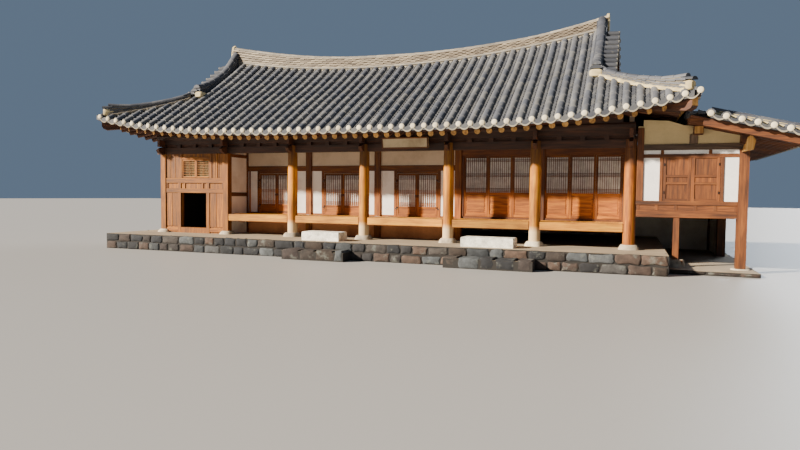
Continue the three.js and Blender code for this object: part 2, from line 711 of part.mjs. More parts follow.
// The kitchen's front wall: post and boards left and right of a low doorway, and boards over it.
function buildKitchenFront() {
  const { x0: door0, x1: door1, z0: doorBottom, z1: doorTop } = KITCHEN_DOOR;
  const over = doorTop + 470;
  const [y0, y1] = [FRONT_Y - PANEL / 2, FRONT_Y + PANEL / 2];
  const [post0, post1] = [FRONT_Y - POST / 2, FRONT_Y + POST / 2];
  const leftPost = -HALF_LENGTH - POST / 2;
  const rightPost = KITCHEN_X + POST / 2;
  const threshold = box(door0 - 20, door1 - GAP, y0 - 25, y1 + 25, PLATFORM_TOP, doorBottom);
  const leftWall = [
    box(leftPost, leftPost + POST, post0, post1, PLATFORM_TOP, BEAM_BOTTOM),
    box(leftPost + POST - 5, door0, y0, y1, PLATFORM_TOP, BEAM_BOTTOM),
    box(door0 - 110, door0, y0 - 25, y1 + 25, PLATFORM_TOP, over),
    threshold,
  ];
  const rightWall = [
    box(rightPost - POST, rightPost, post0, post1, PLATFORM_TOP, BEAM_BOTTOM),
    box(door1, rightPost - POST + 5, y0, y1, PLATFORM_TOP, BEAM_BOTTOM),
    box(door1, door1 + 110, y0 - 25, y1 + 25, PLATFORM_TOP, over),
  ];
  const { x0, x1, z0, z1 } = KITCHEN_WINDOW;
  const hole = box(x0, x1, y0 - 50, y1 + 50, z0, z1);
  place("kitchen_wall_left", join(leftWall), timber);
  place("kitchen_wall_right", cut(join(rightWall), [hole]), timber);
  const band = box(door0 + GAP, door1 - GAP, y0, y1, doorTop, BEAM_BOTTOM);
  const lintel = box(door0 + GAP, door1 - GAP, y0 - 25, y1 + 25, doorTop, doorTop + 140);
  const rail = box(door0 + GAP, door1 - GAP, y0 - 20, y1 + 20, doorTop + 310, doorTop + 470);
  place("kitchen_wall_over", cut(join([band, lintel, rail]), [hole]), timber);
  place("kitchen_window", kitchenWindow(KITCHEN_WINDOW), timber);
}

// A low window of two sashes, each a frame with bars across it.
function kitchenWindow({ x0, x1, z0, z1 }) {
  const [left, right] = [x0 + GAP, x1 - GAP];
  const [bottom, top] = [z0 + GAP, z1 - GAP];
  const middle = (left + right) / 2;
  const frame = 45;
  const [y0, y1] = [FRONT_Y - 40, FRONT_Y + 20];
  const pieces = [
    box(left, right, y0, y1, bottom, bottom + frame),
    box(left, right, y0, y1, top - frame, top),
    box(left, left + frame, y0, y1, bottom, top),
    box(right - frame, right, y0, y1, bottom, top),
    box(middle - frame / 2, middle + frame / 2, y0, y1, bottom, top),
    box(left, right, FRONT_Y, FRONT_Y + 12, bottom, top),
  ];
  for (let k = 1; k <= 3; k += 1) {
    const z = mix(bottom, top, k / 4);
    pieces.push(box(left, right, y0 + 12, y1, z - 14, z + 14));
  }
  return join(pieces);
}

// The wall between kitchen and porch, with the post at its back.
function buildKitchenSide() {
  const x = KITCHEN_X;
  const [y0, y1] = [FRONT_Y + POST / 2 + GAP, WALL_Y - POST / 2];
  const opening = doorOpening(DOOR_BAYS[0]);
  const pieces = [
    box(x - PANEL / 2, x + PANEL / 2, y0, y1 + 5, PLATFORM_TOP, BEARER_TOP - GAP),
    box(x - RAIL / 2, x + RAIL / 2, y0, y1 + 5, PLATFORM_TOP + 1180, PLATFORM_TOP + 1300),
    box(x - POST / 2, x + POST / 2, y1, WALL_Y + POST / 2, PLATFORM_TOP, BEAM_TOP),
    box(x, opening.x0 - JAMB + 5, WALL_Y - 50, WALL_Y + 50, FLOOR_TOP, DOOR_TOP),
    jamb(opening.x0, -1),
    ...jambHinges(opening, "left"),
  ];
  place("kitchen_side_wall", join(pieces), plaster);
}

// The opening of the double door in one bay.
function doorOpening(bay) {
  const middle = (GRID_X[bay] + GRID_X[bay + 1]) / 2;
  return { x0: middle - DOOR_WIDTH / 2, x1: middle + DOOR_WIDTH / 2 };
}

// A door jamb beside an opening's edge, on its left (-1) or its right (1).
function jamb(x, side) {
  const [a, b] = side < 0 ? [x - JAMB, x] : [x, x + JAMB];
  return box(a, b, DOOR_FACE_Y, WALL_Y + 60, FLOOR_TOP, DOOR_TOP);
}

// Heights of a door's two hinges.
const HINGE_Z = [FLOOR_TOP + 260, DOOR_TOP - DOOR_HEAD - 220];

function hingeAxisX(opening, side) {
  return side === "left" ? opening.x0 + LEAF_SIDE_GAP / 2 : opening.x1 - LEAF_SIDE_GAP / 2;
}

// Half of a hinge: a knuckle on the axis and a plate that holds it to a front face.
function hingeHalf(x, toward, z0, z1) {
  const y = DOOR_FACE_Y - HINGE_OFFSET;
  const knuckle = drum(x, y, HINGE_RADIUS, HINGE_RADIUS, z0, z1, 8);
  const [near, far] = [x + toward * (LEAF_SIDE_GAP / 2), x + toward * HINGE_PLATE];
  const plate = box(Math.min(near, far), Math.max(near, far), y + 3, DOOR_FACE_Y + 2, z0, z1);
  return [knuckle, plate];
}

// The jamb's halves of one leaf's hinges, under the leaf's own.
function jambHinges(opening, side) {
  const x = hingeAxisX(opening, side);
  const toward = side === "left" ? -1 : 1;
  return HINGE_Z.flatMap((z) => hingeHalf(x, toward, z - HINGE_HALF, z - GAP / 2));
}

// A square post in the room wall.
function wallPost(x, z0, z1) {
  const half = POST / 2;
  return box(x - half, x + half, WALL_Y - half, WALL_Y + half, z0, z1);
}

// The last pier's post runs down to the platform. The others stand on the sill wall.
const pierFoot = (i) => (i === 4 ? PLATFORM_TOP : FLOOR_TOP);

// The three piers of the room wall: a post, white panels and a door jamb at each side that
// has a door.
function buildPiers() {
  for (let i = 2; i <= 4; i += 1) {
    const x = GRID_X[i];
    const left = doorOpening(i - 1);
    const pieces = [
      wallPost(x, pierFoot(i), DOOR_TOP),
      box(left.x1 + JAMB - 5, x, WALL_Y - 50, WALL_Y + 50, FLOOR_TOP, DOOR_TOP),
      jamb(left.x1, 1),
      ...jambHinges(left, "right"),
    ];
    if (DOOR_BAYS.includes(i)) {
      const right = doorOpening(i);
      pieces.push(box(x, right.x0 - JAMB + 5, WALL_Y - 50, WALL_Y + 50, FLOOR_TOP, DOOR_TOP));
      pieces.push(jamb(right.x0, -1), ...jambHinges(right, "left"));
    }
    place(`room_pier_${i - 1}`, join(pieces), plaster);
  }
}

// The band over the room doors: the doors' heads, lintel, upper panels and posts up to the roof.
function buildHeadWall() {
  const [x0, x1] = [KITCHEN_X + POST / 2 + GAP, GRID_X[4] + POST / 2];
  const pieces = [
    box(x0, x1, WALL_Y - PANEL / 2, WALL_Y + PANEL / 2, DOOR_TOP, BEARER_TOP),
    box(x0, x1, WALL_Y - 40, WALL_Y + PANEL / 2, DOOR_TOP, ROOM_WALL_TOP),
    box(x0, x1, WALL_Y - 65, WALL_Y + 65, DOOR_TOP, DOOR_TOP + 160),
    box(x0, x1, WALL_Y - 65, WALL_Y + 65, DOOR_TOP + 580, DOOR_TOP + 760),
  ];
  for (const x of GRID_X.slice(2, 5)) pieces.push(wallPost(x, DOOR_TOP, BEAM_TOP + 100));
  for (const bay of DOOR_BAYS) {
    const { x0: left, x1: right } = doorOpening(bay);
    const [z0, z1] = [DOOR_TOP - DOOR_HEAD, DOOR_TOP + 10];
    pieces.push(box(left + GAP, right - GAP, DOOR_FACE_Y, WALL_Y + 60, z0, z1));
  }
  place("room_head_wall", join(pieces), plaster);
}

// The wall under the porch at the foot of the rooms, with the doors' thresholds on it.
function buildSillWall() {
  const [x0, x1] = [KITCHEN_X + POST / 2 + GAP, GRID_X[4] - POST / 2 - GAP];
  const pieces = [box(x0, x1, WALL_Y - 40, WALL_Y + 60, PLATFORM_TOP, FLOOR_TOP)];
  for (const x of [GRID_X[2], GRID_X[3]]) pieces.push(wallPost(x, PLATFORM_TOP, FLOOR_TOP));
  for (const bay of DOOR_BAYS) {
    const opening = doorOpening(bay);
    const [left, right] = [opening.x0 + GAP, opening.x1 - GAP];
    pieces.push(box(left, right, DOOR_FACE_Y, WALL_Y + 60, FLOOR_TOP, FLOOR_TOP + DOOR_SILL));
    pieces.push(box(left, right, WALL_Y - 40, WALL_Y + 60, FLOOR_TOP - 10, FLOOR_TOP + DOOR_SILL));
  }
  place("room_sill_wall", join(pieces), darkTimber);
}

// The space that a square post takes, with a small gap round it.
function postHole(x, y, z0, z1) {
  const half = POST / 2 + GAP;
  return box(x - half, x + half, y - half, y + half, z0, z1);
}

// One leaf of a room door: a frame, a paper field behind the lattice's place, a low wood panel
// and its halves of the hinges.
function doorLeaf(opening, side) {
  const width = (DOOR_WIDTH - 2 * LEAF_SIDE_GAP - LEAF_MIDDLE_GAP) / 2;
  const x0 = side === "left" ? opening.x0 + LEAF_SIDE_GAP : opening.x1 - LEAF_SIDE_GAP - width;
  const x1 = x0 + width;
  const [z0, z1] = [FLOOR_TOP + DOOR_SILL + LEAF_END_GAP, DOOR_TOP - DOOR_HEAD - LEAF_END_GAP];
  const [y0, y1] = [DOOR_FACE_Y, DOOR_FACE_Y + LEAF_DEPTH];
  const panelTop = z0 + LEAF_RAIL + 170;
  const hingeX = hingeAxisX(opening, side);
  const toward = side === "left" ? 1 : -1;
  const pieces = [
    box(x0, x1, y0, y1, z0, z0 + LEAF_RAIL),
    box(x0, x1, y0, y1, z1 - LEAF_RAIL, z1),
    box(x0, x0 + STILE, y0, y1, z0, z1),
    box(x1 - STILE, x1, y0, y1, z0, z1),
    box(x0, x1, y0, y1, panelTop, panelTop + LEAF_RAIL * 0.8),
    box(x0 + 5, x1 - 5, y1 - 20, y1 - 8, z0 + 5, z1 - 5),
    ...HINGE_Z.flatMap((z) => hingeHalf(hingeX, toward, z + GAP / 2, z + HINGE_HALF)),
  ];
  return join(pieces);
}

function buildDoors() {
  for (const bay of DOOR_BAYS) {
    const opening = doorOpening(bay);
    for (const side of ["left", "right"]) {
      place(`door_${bay}_${side}`, doorLeaf(opening, side), timber);
    }
  }
}

// The hall's frame: posts, head and sill round the two sets of folding leaves.
function buildHall() {
  const [x0, x1] = [GRID_X[4] + POST / 2 + GAP, HALF_LENGTH - RAIL / 2 - GAP];
  const middle = GRID_X[5];
  const sill = FLOOR_TOP + 60;
  const frame = [
    box(x0, x1, WALL_Y - 60, WALL_Y + 60, HALL_TOP, HALL_TOP + 180),
    box(x0, x1, WALL_Y - PANEL / 2, WALL_Y + PANEL / 2, HALL_TOP + 170, BEARER_TOP),
    box(x0, gableX("right") - 60, WALL_Y - 40, WALL_Y + PANEL / 2, HALL_TOP + 170, ROOM_WALL_TOP),
    box(x0, x1, WALL_Y - 60, WALL_Y + 60, FLOOR_TOP, sill),
    wallPost(middle, FLOOR_TOP, BEAM_TOP),
    box(x0, x0 + 70, WALL_Y - 60, WALL_Y + 60, FLOOR_TOP, HALL_TOP + 20),
    box(x1 - 130, x1, WALL_Y - 75, WALL_Y + 75, FLOOR_TOP, HALL_TOP + 20),
  ];
  place("hall_frame", join(frame), timber);
  const fields = [
    ["hall_doors_left", x0 + 70, middle - POST / 2],
    ["hall_doors_right", middle + POST / 2, x1 - 130],
  ];
  for (const [name, left, right] of fields) {
    place(name, hallLeaves(left + GAP, right - GAP, sill + GAP, HALL_TOP - GAP), timber);
  }
}

// Three leaves that fold together, drawn as one closed row.
function hallLeaves(x0, x1, z0, z1) {
  const [y0, y1] = [WALL_Y - 35, WALL_Y + 5];
  const rail = 70;
  const pieces = [
    box(x0, x1, y0, y1, z0, z0 + rail),
    box(x0, x1, y0, y1, z1 - rail, z1),
    box(x0, x1, y0, y1, z0 + 620, z0 + 690),
    box(x0, x1, y1 - 20, y1 - 8, z0, z1),
  ];
  for (let i = 0; i <= 3; i += 1) {
    const half = i === 0 || i === 3 ? 50 : 40;
    const x = clamp(mix(x0, x1, i / 3), x0 + half, x1 - half);
    pieces.push(box(x - half, x + half, y0, y1, z0, z1));
  }
  return join(pieces);
}

// The porch: boards behind an edge beam that is tenoned between the columns.
function buildFloors() {
  const [x0, x1] = [KITCHEN_X + POST / 2 + GAP, HALF_LENGTH - RAIL / 2 - GAP];
  const boards = [
    box(x0, x1, FRONT_Y - 70, WALL_Y - 40 - GAP, FLOOR_TOP - 60, FLOOR_TOP),
    box(x0, x1, FRONT_Y - 80, FRONT_Y + 40, FLOOR_TOP - 210, FLOOR_TOP - 5),
  ];
  const holes = GRID_X.slice(2).map((x) => {
    return drum(x, FRONT_Y, COLUMN_RADIUS + 9, COLUMN_RADIUS + 9, PLATFORM_TOP, FLOOR_TOP + 50, 12);
  });
  const posts = [...GRID_X.slice(2, 5), GRID_X[5], KITCHEN_X].map((x) => {
    return postHole(x, WALL_Y, PLATFORM_TOP, FLOOR_TOP + 50);
  });
  place("porch_floor", cut(join(boards), [...holes, ...posts]), timber);
  const inside = box(x0, x1, WALL_Y + 60 + GAP, BACK_Y - RAIL / 2 - GAP, FLOOR_TOP - 100, FLOOR_TOP);
  const inner = [...GRID_X.slice(1, 6)].map((x) => postHole(x, WALL_Y, PLATFORM_TOP, FLOOR_TOP + 50));
  place("room_floor", cut(inside, [...inner, ...backPosts(PLATFORM_TOP)]), timber);
}

// The spaces of the back wall's posts.
function backPosts(z0) {
  return GRID_X.map((x) => postHole(x, BACK_Y, z0, FLOOR_TOP + 50));
}

// A plain wall of posts, rails and white panels along X, under its beam, bearer and purlin.
function buildBackWall() {
  const [x0, x1] = [-HALF_LENGTH, HALF_LENGTH];
  const y = BACK_Y;
  const pieces = [
    box(x0, x1, y - PANEL / 2, y + PANEL / 2, PLATFORM_TOP, BEAM_BOTTOM + 20),
    box(x0 - 250, x1 + 100, y - BEAM_WIDTH / 2, y + BEAM_WIDTH / 2, BEAM_BOTTOM, BEAM_TOP),
    box(x0 - 250, x1 + 100, y - 55, y + 55, BEAM_TOP - 5, BEARER_TOP + 30),
    purlinX(x0 - 250, x1 + 100, y),
    mirror(frontWedge()),
  ];
  for (const z of [FLOOR_TOP - 120, FLOOR_TOP + 500, DOOR_TOP]) {
    pieces.push(box(x0, x1, y - RAIL / 2, y + RAIL / 2, z, z + 120));
  }
  const half = POST / 2;
  for (const x of GRID_X) {
    pieces.push(box(x - half, x + half, y - half, y + half, PLATFORM_TOP, BEAM_BOTTOM + 20));
  }
  place("back_wall", cut(join(pieces), hipTools("left", mirrored, "right", mirrored)), plaster);
}

// A geometry mirrored from the front to the back.
function mirror(geometry) {
  const turned = geometry.clone().scale(1, -1, 1);
  turned.setIndex([...turned.getIndex().array].reverse());
  return turned;
}

// The left wall and the wall between hall and wing.
function buildEndWalls() {
  for (const side of ["left", "right"]) {
    const x = side === "left" ? -HALF_LENGTH : HALF_LENGTH;
    const y0 = side === "left" ? FRONT_Y + POST / 2 + GAP : FRONT_Y + COLUMN_RADIUS + 12;
    const y1 = BACK_Y - POST / 2 - GAP;
    const [beam0, beam1] = [FRONT_Y + 150, BACK_Y - 150];
    const bottom = PLATFORM_TOP;
    const pieces = [
      box(x - PANEL / 2, x + PANEL / 2, y0, y1, bottom, BEAM_BOTTOM + 20),
      box(x - BEAM_WIDTH / 2, x + BEAM_WIDTH / 2, beam0, beam1, BEAM_BOTTOM, PURLIN_TOP - 60),
      sideWedge(side),
    ];
    for (const z of [FLOOR_TOP - 120, FLOOR_TOP + 500, DOOR_TOP]) {
      pieces.push(box(x - RAIL / 2, x + RAIL / 2, y0, y1, z, z + 120));
    }
    for (const y of [WALL_Y, MIDDLE_Y]) {
      const half = side === "left" ? POST / 2 : RAIL / 2;
      pieces.push(box(x - half, x + half, y - POST / 2, y + POST / 2, bottom, BEAM_BOTTOM + 20));
    }
    const tools = hipTools(side, same, side, mirrored);
    if (side === "right") tools.push(drum(x, FRONT_Y, 252, 252, PLATFORM_TOP - 10, STONE_TOP + GAP, 12));
    place(`${side}_wall`, cut(join(pieces), tools), plaster);
  }
}

// The blank name board, leaning forward under the eave from the front beam.
function buildNameBoard() {
  const x = GRID_X[4] - 1195;
  const [width, height, depth] = [1340, 300, 40];
  const board = new THREE.BoxGeometry(width, depth, height);
  const frame = 30;
  const rim = [
    new THREE.BoxGeometry(width, depth + 24, frame).translate(0, 0, (height - frame) / 2),
    new THREE.BoxGeometry(width, depth + 24, frame).translate(0, 0, (frame - height) / 2),
    new THREE.BoxGeometry(frame, depth + 24, height).translate((width - frame) / 2, 0, 0),
    new THREE.BoxGeometry(frame, depth + 24, height).translate((frame - width) / 2, 0, 0),
  ];
  const hanger = new THREE.BoxGeometry(60, 160, 40).translate(0, 60, -height / 2 + 30);
  const geometry = join([board, ...rim, hanger]);
  geometry.rotateX(0.22).translate(x, FRONT_Y - BEAM_WIDTH / 2 - 150, BEAM_BOTTOM + 205);
  const face = FRONT_Y - BEAM_WIDTH / 2 - GAP;
  const beam = box(x - width, x + width, face, face + 200, BEAM_BOTTOM - 100, BEARER_TOP);
  place("name_board", cut(geometry, [beam]), paleStone);
}

// The underside of the wing's roof at a place along X.
const wingUnder = (x) => PLATFORM_TOP + 2900 - WING_ROOF_SLOPE * (x - HALF_LENGTH - 2195);

// Raised wing: posts, floor, walls and window.
function buildWing() {
  const floor = PLATFORM_TOP + 980;
  const [left, right] = [HALF_LENGTH + RAIL / 2 + GAP, WING_X + WING_POST / 2];
  const postTop = PLATFORM_TOP + 2420;
  const half = WING_POST / 2;
  const post = (x, y, top) => box(x - half, x + half, y - half, y + half, WING_BASE_TOP, top);
  place("wing_post_front", post(WING_X, FRONT_Y, postTop), timber);
  const lowTop = floor - 170 - GAP;
  const croft = [
    post(WING_X, MIDDLE_Y, postTop),
    post(WING_X, BACK_Y, postTop),
    box(WING_X - 50, WING_X + 50, MIDDLE_Y, BACK_Y, WING_BASE_TOP, lowTop),
    box(HALF_LENGTH + PLATFORM_RIGHT + GAP, WING_X, BACK_Y - 50, BACK_Y + 50, WING_BASE_TOP, lowTop),
  ];
  place("wing_croft_walls", join(croft), plaster);
  buildWingFloor(left, right, floor);
  buildWingFront(floor);
  buildWingWalls(left, floor, postTop);
}

function buildWingFloor(left, right, floor) {
  const half = WING_POST / 2 + GAP;
  const start = HALF_LENGTH + COLUMN_RADIUS + 15;
  const shortX = HALF_LENGTH + PLATFORM_RIGHT + 210;
  const boards = [
    box(left, right, FRONT_Y - 60, BACK_Y + 60, floor - 80, floor),
    box(start, right, FRONT_Y - 70, FRONT_Y + 70, floor - 170, floor),
    box(left, right, BACK_Y - 70, BACK_Y + 60, floor - 170, floor),
    box(WING_X - 70, WING_X + 70, FRONT_Y - 60, BACK_Y + 60, floor - 170, floor),
    box(shortX - 150, shortX + 150, FRONT_Y - 150, FRONT_Y + 150, WING_BASE_TOP, PLATFORM_TOP - 200),
    box(shortX - 65, shortX + 65, FRONT_Y - 65, FRONT_Y + 65, PLATFORM_TOP - 210, floor - 160),
  ];
  const holes = [FRONT_Y, MIDDLE_Y, BACK_Y].map((y) => {
    return box(WING_X - half, WING_X + half, y - half, y + half, 0, floor + 50);
  });
  const column = box(left - 10, start, FRONT_Y - 200, FRONT_Y + 200, 0, floor + 50);
  const corner = postHole(HALF_LENGTH, BACK_Y, 0, floor + 50);
  place("wing_floor", cut(join(boards), [...holes, column, corner]), timber);
}

// An outline in X and Z from a floor up to the wing's rafters.
function wingOutline(x0, x1, z0) {
  const under = (x) => Math.min(wingUnder(x) - WING_RAFTER - 4, PLATFORM_TOP + 3120);
  const bend = HALF_LENGTH + 1250;
  return [
    [x0, z0],
    [x1, z0],
    [x1, under(x1)],
    [bend, under(bend)],
    [x0, under(bend)],
  ];
}

function slabAlongY(outline, y0, y1) {
  return loft([y0, y1].map((y) => outline.map(([x, z]) => point(x, y, z))));
}

// The wing's front wall, with its window and the gable plaster over the tie beam.
function buildWingFront(floor) {
  const [x0, x1] = [HALF_LENGTH + COLUMN_RADIUS + 15, WING_X - WING_POST / 2 - GAP];
  const [y0, y1] = [FRONT_Y - PANEL / 2, FRONT_Y + PANEL / 2];
  const tie = PLATFORM_TOP + 2420;
  const pieces = [
    slabAlongY(wingOutline(x0, x1, floor + GAP), y0, y1),
    box(x0, x1, y0 - 20, y1 + 20, floor + 140, floor + 220),
    box(x0, WING_X + 90, y0 - 25, y1 + 25, tie + GAP, tie + 140),
    box(x0, x1, y0 - 15, y1 + 15, PLATFORM_TOP + 2280, PLATFORM_TOP + 2320),
  ];
  const hole = box(WING_WINDOW.x0, WING_WINDOW.x1, y0 - 60, y1 + 60, WING_WINDOW.z0, WING_WINDOW.z1);
  place("wing_front_wall", cut(join(pieces), [hole, ...wingPurlins(GAP)]), plaster);
  place("wing_window", wingWindow(WING_WINDOW), timber);
}

// Two board leaves with three panels each, drawn closed.
function wingWindow({ x0, x1, z0, z1 }) {
  const [left, right] = [x0 + GAP, x1 - GAP];
  const [bottom, top] = [z0 + GAP, z1 - GAP];
  const middle = (left + right) / 2;
  const [y0, y1] = [FRONT_Y - 60, FRONT_Y + 10];
  const frame = 70;
  const pieces = [box(left, right, y0 + 25, y1, bottom, top)];
  for (const x of [left + frame / 2, middle - 35, middle + 35, right - frame / 2]) {
    pieces.push(box(x - frame / 2, x + frame / 2, y0, y1, bottom, top));
  }
  for (const z of [bottom + 35, mix(bottom, top, 0.42), mix(bottom, top, 0.58), top - 35]) {
    pieces.push(box(left, right, y0 + 5, y1, z - 35, z + 35));
  }
  return join(pieces);
}

// The wing's right and back walls, and the wall under its floor at the back.
function buildWingWalls(left, floor, postTop) {
  const half = WING_POST / 2 + GAP;
  const [start, stop] = [FRONT_Y + half, BACK_Y - half];
  const side = [box(WING_X - PANEL / 2, WING_X + PANEL / 2, start, stop, floor + GAP, postTop + 60)];
  for (const z of [floor + GAP, floor + 180, floor + 820, postTop - 100]) {
    side.push(box(WING_X - 65, WING_X + 65, start, stop, z, z + 110));
  }
  const middle = box(WING_X - half, WING_X + half, MIDDLE_Y - half, MIDDLE_Y + half, 0, postTop + GAP);
  place("wing_right_wall", cut(join(side), [middle]), plaster);
  const [x0, x1] = [left + 50, WING_X - WING_POST / 2 - GAP];
  const [y0, y1] = [BACK_Y - PANEL / 2, BACK_Y + PANEL / 2];
  const tie = postTop + GAP;
  const back = [
    slabAlongY(wingOutline(x0, x1, floor + GAP), y0, y1),
    box(x0, WING_X + 90, y0 - 25, y1 + 25, tie, tie + 140),
    box(x0, x1, y0 - 20, y1 + 20, floor + 500, floor + 600),
  ];
  place("wing_back_wall", cut(join(back), wingPurlins(GAP)), plaster);
}

// The wing's middle and outer purlins, swollen by a margin where they cut walls.
function wingPurlins(margin) {
  return [HALF_LENGTH + 1460, WING_X].map((x) => {
    const top = wingUnder(x) - WING_RAFTER + 6;
    const [wide, tall] = [100 + margin, 200];
    return box(x - wide, x + wide, FRONT_Y - 330, BACK_Y + 330, top - tall - margin, top + margin);
  });
}

// The wing's rafters, purlins and front and back bargeboards.
function buildWingRoofFrame() {
  const [x0, x1] = [WING_ROOF_LEFT + 40, WING_ROOF_RIGHT - 220];
  const y1 = HALF_DEPTH + WING_ROOF_OVERHANG - 150;
  const count = Math.round((2 * y1) / RAFTER_PITCH);
  const comb = [x0, x1].map((x) => {
    const z = wingUnder(x) - 1;
    const below = [point(x, -y1, z - RAFTER_WEB)];
    for (let i = 1; i < count; i += 1) {
      const y = mix(-y1, y1, i / count);
      below.push(point(x, y - 60, z - RAFTER_WEB), point(x, y - 48, z - WING_RAFTER));
      below.push(point(x, y + 48, z - WING_RAFTER), point(x, y + 60, z - RAFTER_WEB));
    }
    below.push(point(x, y1, z - RAFTER_WEB));
    return [point(x, y1, z), point(x, -y1, z), ...below];
  });
  const boards = [-1, 1].map((end) => {
    const outline = [x0 + 250, x1 + 12].map((x) => [x, wingUnder(x) - 8]);
    const lower = outline.map(([x, z]) => [x, z - 170]).reverse();
    return slabAlongY([...outline, ...lower], end * (y1 - 45), end * (y1 + 15));
  });
  place("wing_roof_frame", join([loft(comb), ...boards, ...wingPurlins(0)]), timber);
}

// The lean-to roof with a low ridge of tiles along its front and back verges.
function buildWingRoof() {
  const y = HALF_DEPTH + WING_ROOF_OVERHANG;
  const [x0, x1] = [WING_ROOF_LEFT, WING_ROOF_RIGHT];
  const corner = x0 + 420;
  const short = HALF_DEPTH + 250;
  const plan = [[x0, -short], [corner, -y], [x1, -y], [x1, y], [corner, y], [x0, short]];
  const slab = prismUnderRoof(plan, 0, WING_ROOF_THICK);
  const ridges = [-1, 1].map((end) => {
    const ridgeY = end * (y - 400);
    const [start, stop] = [corner + 60, x1 - 150];
    const [low, high] = [ridgeY - 110, ridgeY + 110];
    const band = [[start, low], [stop, low], [stop, high], [start, high]];
    return prismUnderRoof(band, WING_ROOF_THICK - 10, 290);
  });
  place("wing_roof", join([slab, ...ridges]), tile);
}

// A plan outline given thickness between two heights over the underside of the wing's roof.
function prismUnderRoof(plan, low, high) {
  const outline = new THREE.Shape(plan.map(([x, y]) => new THREE.Vector2(x, y)));
  const geometry = new THREE.ExtrudeGeometry(outline, { depth: 1, steps: 1, bevelEnabled: false });
  const position = geometry.getAttribute("position");
  for (let i = 0; i < position.count; i += 1) {
    const x = position.getX(i);
    position.setZ(i, wingUnder(x) + mix(low, high, position.getZ(i)));
  }
  return geometry;
}

buildMasonry();
buildStepStones();
buildColumns();
buildFrontBeam();
buildKitchenFront();
buildKitchenSide();
buildPiers();
buildHeadWall();
buildSillWall();
buildDoors();
buildHall();
buildFloors();
buildBackWall();
buildEndWalls();
buildNameBoard();
buildWing();
buildRafters();
buildSlopes();
place("main_ridge", mainRidge(0), tile);
buildCornerRidges();
for (const side of ["left", "right"]) place(`gable_${side}`, gable(side), plaster);
buildWingRoofFrame();
buildWingRoof();

export default house;
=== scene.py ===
import math
import random

import bmesh
import bpy
from mathutils import Matrix, Vector


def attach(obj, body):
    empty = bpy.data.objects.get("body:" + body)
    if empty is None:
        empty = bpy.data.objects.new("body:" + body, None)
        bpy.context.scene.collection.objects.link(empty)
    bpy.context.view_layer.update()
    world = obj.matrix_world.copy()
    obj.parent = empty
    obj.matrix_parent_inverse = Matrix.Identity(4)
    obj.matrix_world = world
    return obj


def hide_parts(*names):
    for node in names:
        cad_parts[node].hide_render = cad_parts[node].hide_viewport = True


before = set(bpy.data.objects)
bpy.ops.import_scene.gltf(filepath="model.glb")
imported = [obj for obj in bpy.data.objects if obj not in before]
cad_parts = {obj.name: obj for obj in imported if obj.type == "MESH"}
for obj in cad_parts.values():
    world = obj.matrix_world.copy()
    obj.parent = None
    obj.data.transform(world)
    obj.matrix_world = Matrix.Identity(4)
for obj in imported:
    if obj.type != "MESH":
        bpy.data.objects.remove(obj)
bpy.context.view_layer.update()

DICE = random.Random(7)

# Directions, and the axes by number
UP = Vector((0, 0, 1))
X_WAY = Vector((1, 0, 0))
Y_WAY = Vector((0, 1, 0))
X, Y, Z = range(3)
SIDES = (("left", -1), ("right", 1))
ENDS = (("front", -1), ("back", 1))

# Camera, found by fitting the house to the photograph
CAMERA_AT = (7.1275, -19.21, 1.74)
CAMERA_YAW = math.radians(20.41)
CAMERA_PITCH = math.radians(2.77)
CAMERA_ROLL = math.radians(0.65)
CAMERA_LENS = 28.0
SENSOR_WIDTH = 36.0

# Lights: energy, colour, then width, side and height in degrees
KEY_LIGHT = (15, (1.0, 0.89, 0.74), 2.2, 50, 25.5)
FILL_LIGHT = (1.7, (0.85, 0.92, 1.0), 25, 200, 19)
SKY_COLOUR = (0.50, 0.70, 1.0, 1)
SKY_STRENGTH = 0.24
FLOOR_COLOUR = (0.34, 0.33, 0.315, 1)
FLOOR_REACH = 120

# The house's grid, in metres
GRID_X = [-7.0725, -4.6825, -2.3575, -0.0325, 2.4575, 4.7825, 7.0725]
FRONT_Y = -2.92
WALL_Y = -1.86
MIDDLE_Y = 0.53
BACK_Y = 2.92
WING_X = 9.5225

# Levels
PLATFORM_TOP = 0.46
STONE_TOP = 0.58
FLOOR_TOP = 1.09
DOOR_TOP = 2.45
HALL_TOP = 2.86
BEAM_BOTTOM = 2.96
BEAM_TOP = 3.16
BLOCK_TOP = 3.26
BEARER_TOP = 3.39

# Main roof. Its surface S runs through the middle of the round tiles.
EAVE_X = 8.4725
EAVE_Y = 4.32
EAVE_Z = 3.465
EAVE_RISE = 0.58
EAVE_POWER = 3.6
EAVE_BOW = 0.15
GABLE_X = {-1: 6.4525, 1: 6.3325}
RIDGE_LOW_X = -0.6
RIDGE_BASE_Z = 5.84
RIDGE_RISE = {-1: 0.51, 1: 0.69}
RIDGE_POWER = 2.1
ROOF_DEPTH = 4.15
ROOF_CURVE = 0.08
HIP_DEPTH = 1.8
FAN_X = 5.6
FAN_Y = 1.3
SIDE_DIP = {-1: 0.48, 1: 0.19}
TIP_DEPTH = 0.2
UNDERSIDE_ROWS = [(0, 0.08), (TIP_DEPTH, 0.16), (HIP_DEPTH, 0.53), (ROOF_DEPTH, 0.55)]

# Roof tiles
TILE_PITCH = 0.30
ROUND_LENGTH = 0.33
SHORTEST_ROW = 0.1
FLAT_LENGTH = 0.13
TILE_LAP = 0.001
TROUGH_STEPS = 5
TROUGH_LOW = -0.03
TROUGH_RISE = 0.07
FLAT_STEP = 0.022
ROUND_BASE = 0.008
ROUND_RADIUS = 0.096
ROUND_TAPER = 0.010
EAVE_INSET = 0.12
PLUG_LIFT = 0.032
PLUG_RADIUS = 0.070
PLUG_ROWS = [(-0.06, 0.97), (0.004, 1), (0.012, 0.93), (0.019, 0.72), (0.023, 0.36)]

LIP_THICK = 0.034
LIP_SAG = 0.085
LIP_GAP = 0.015

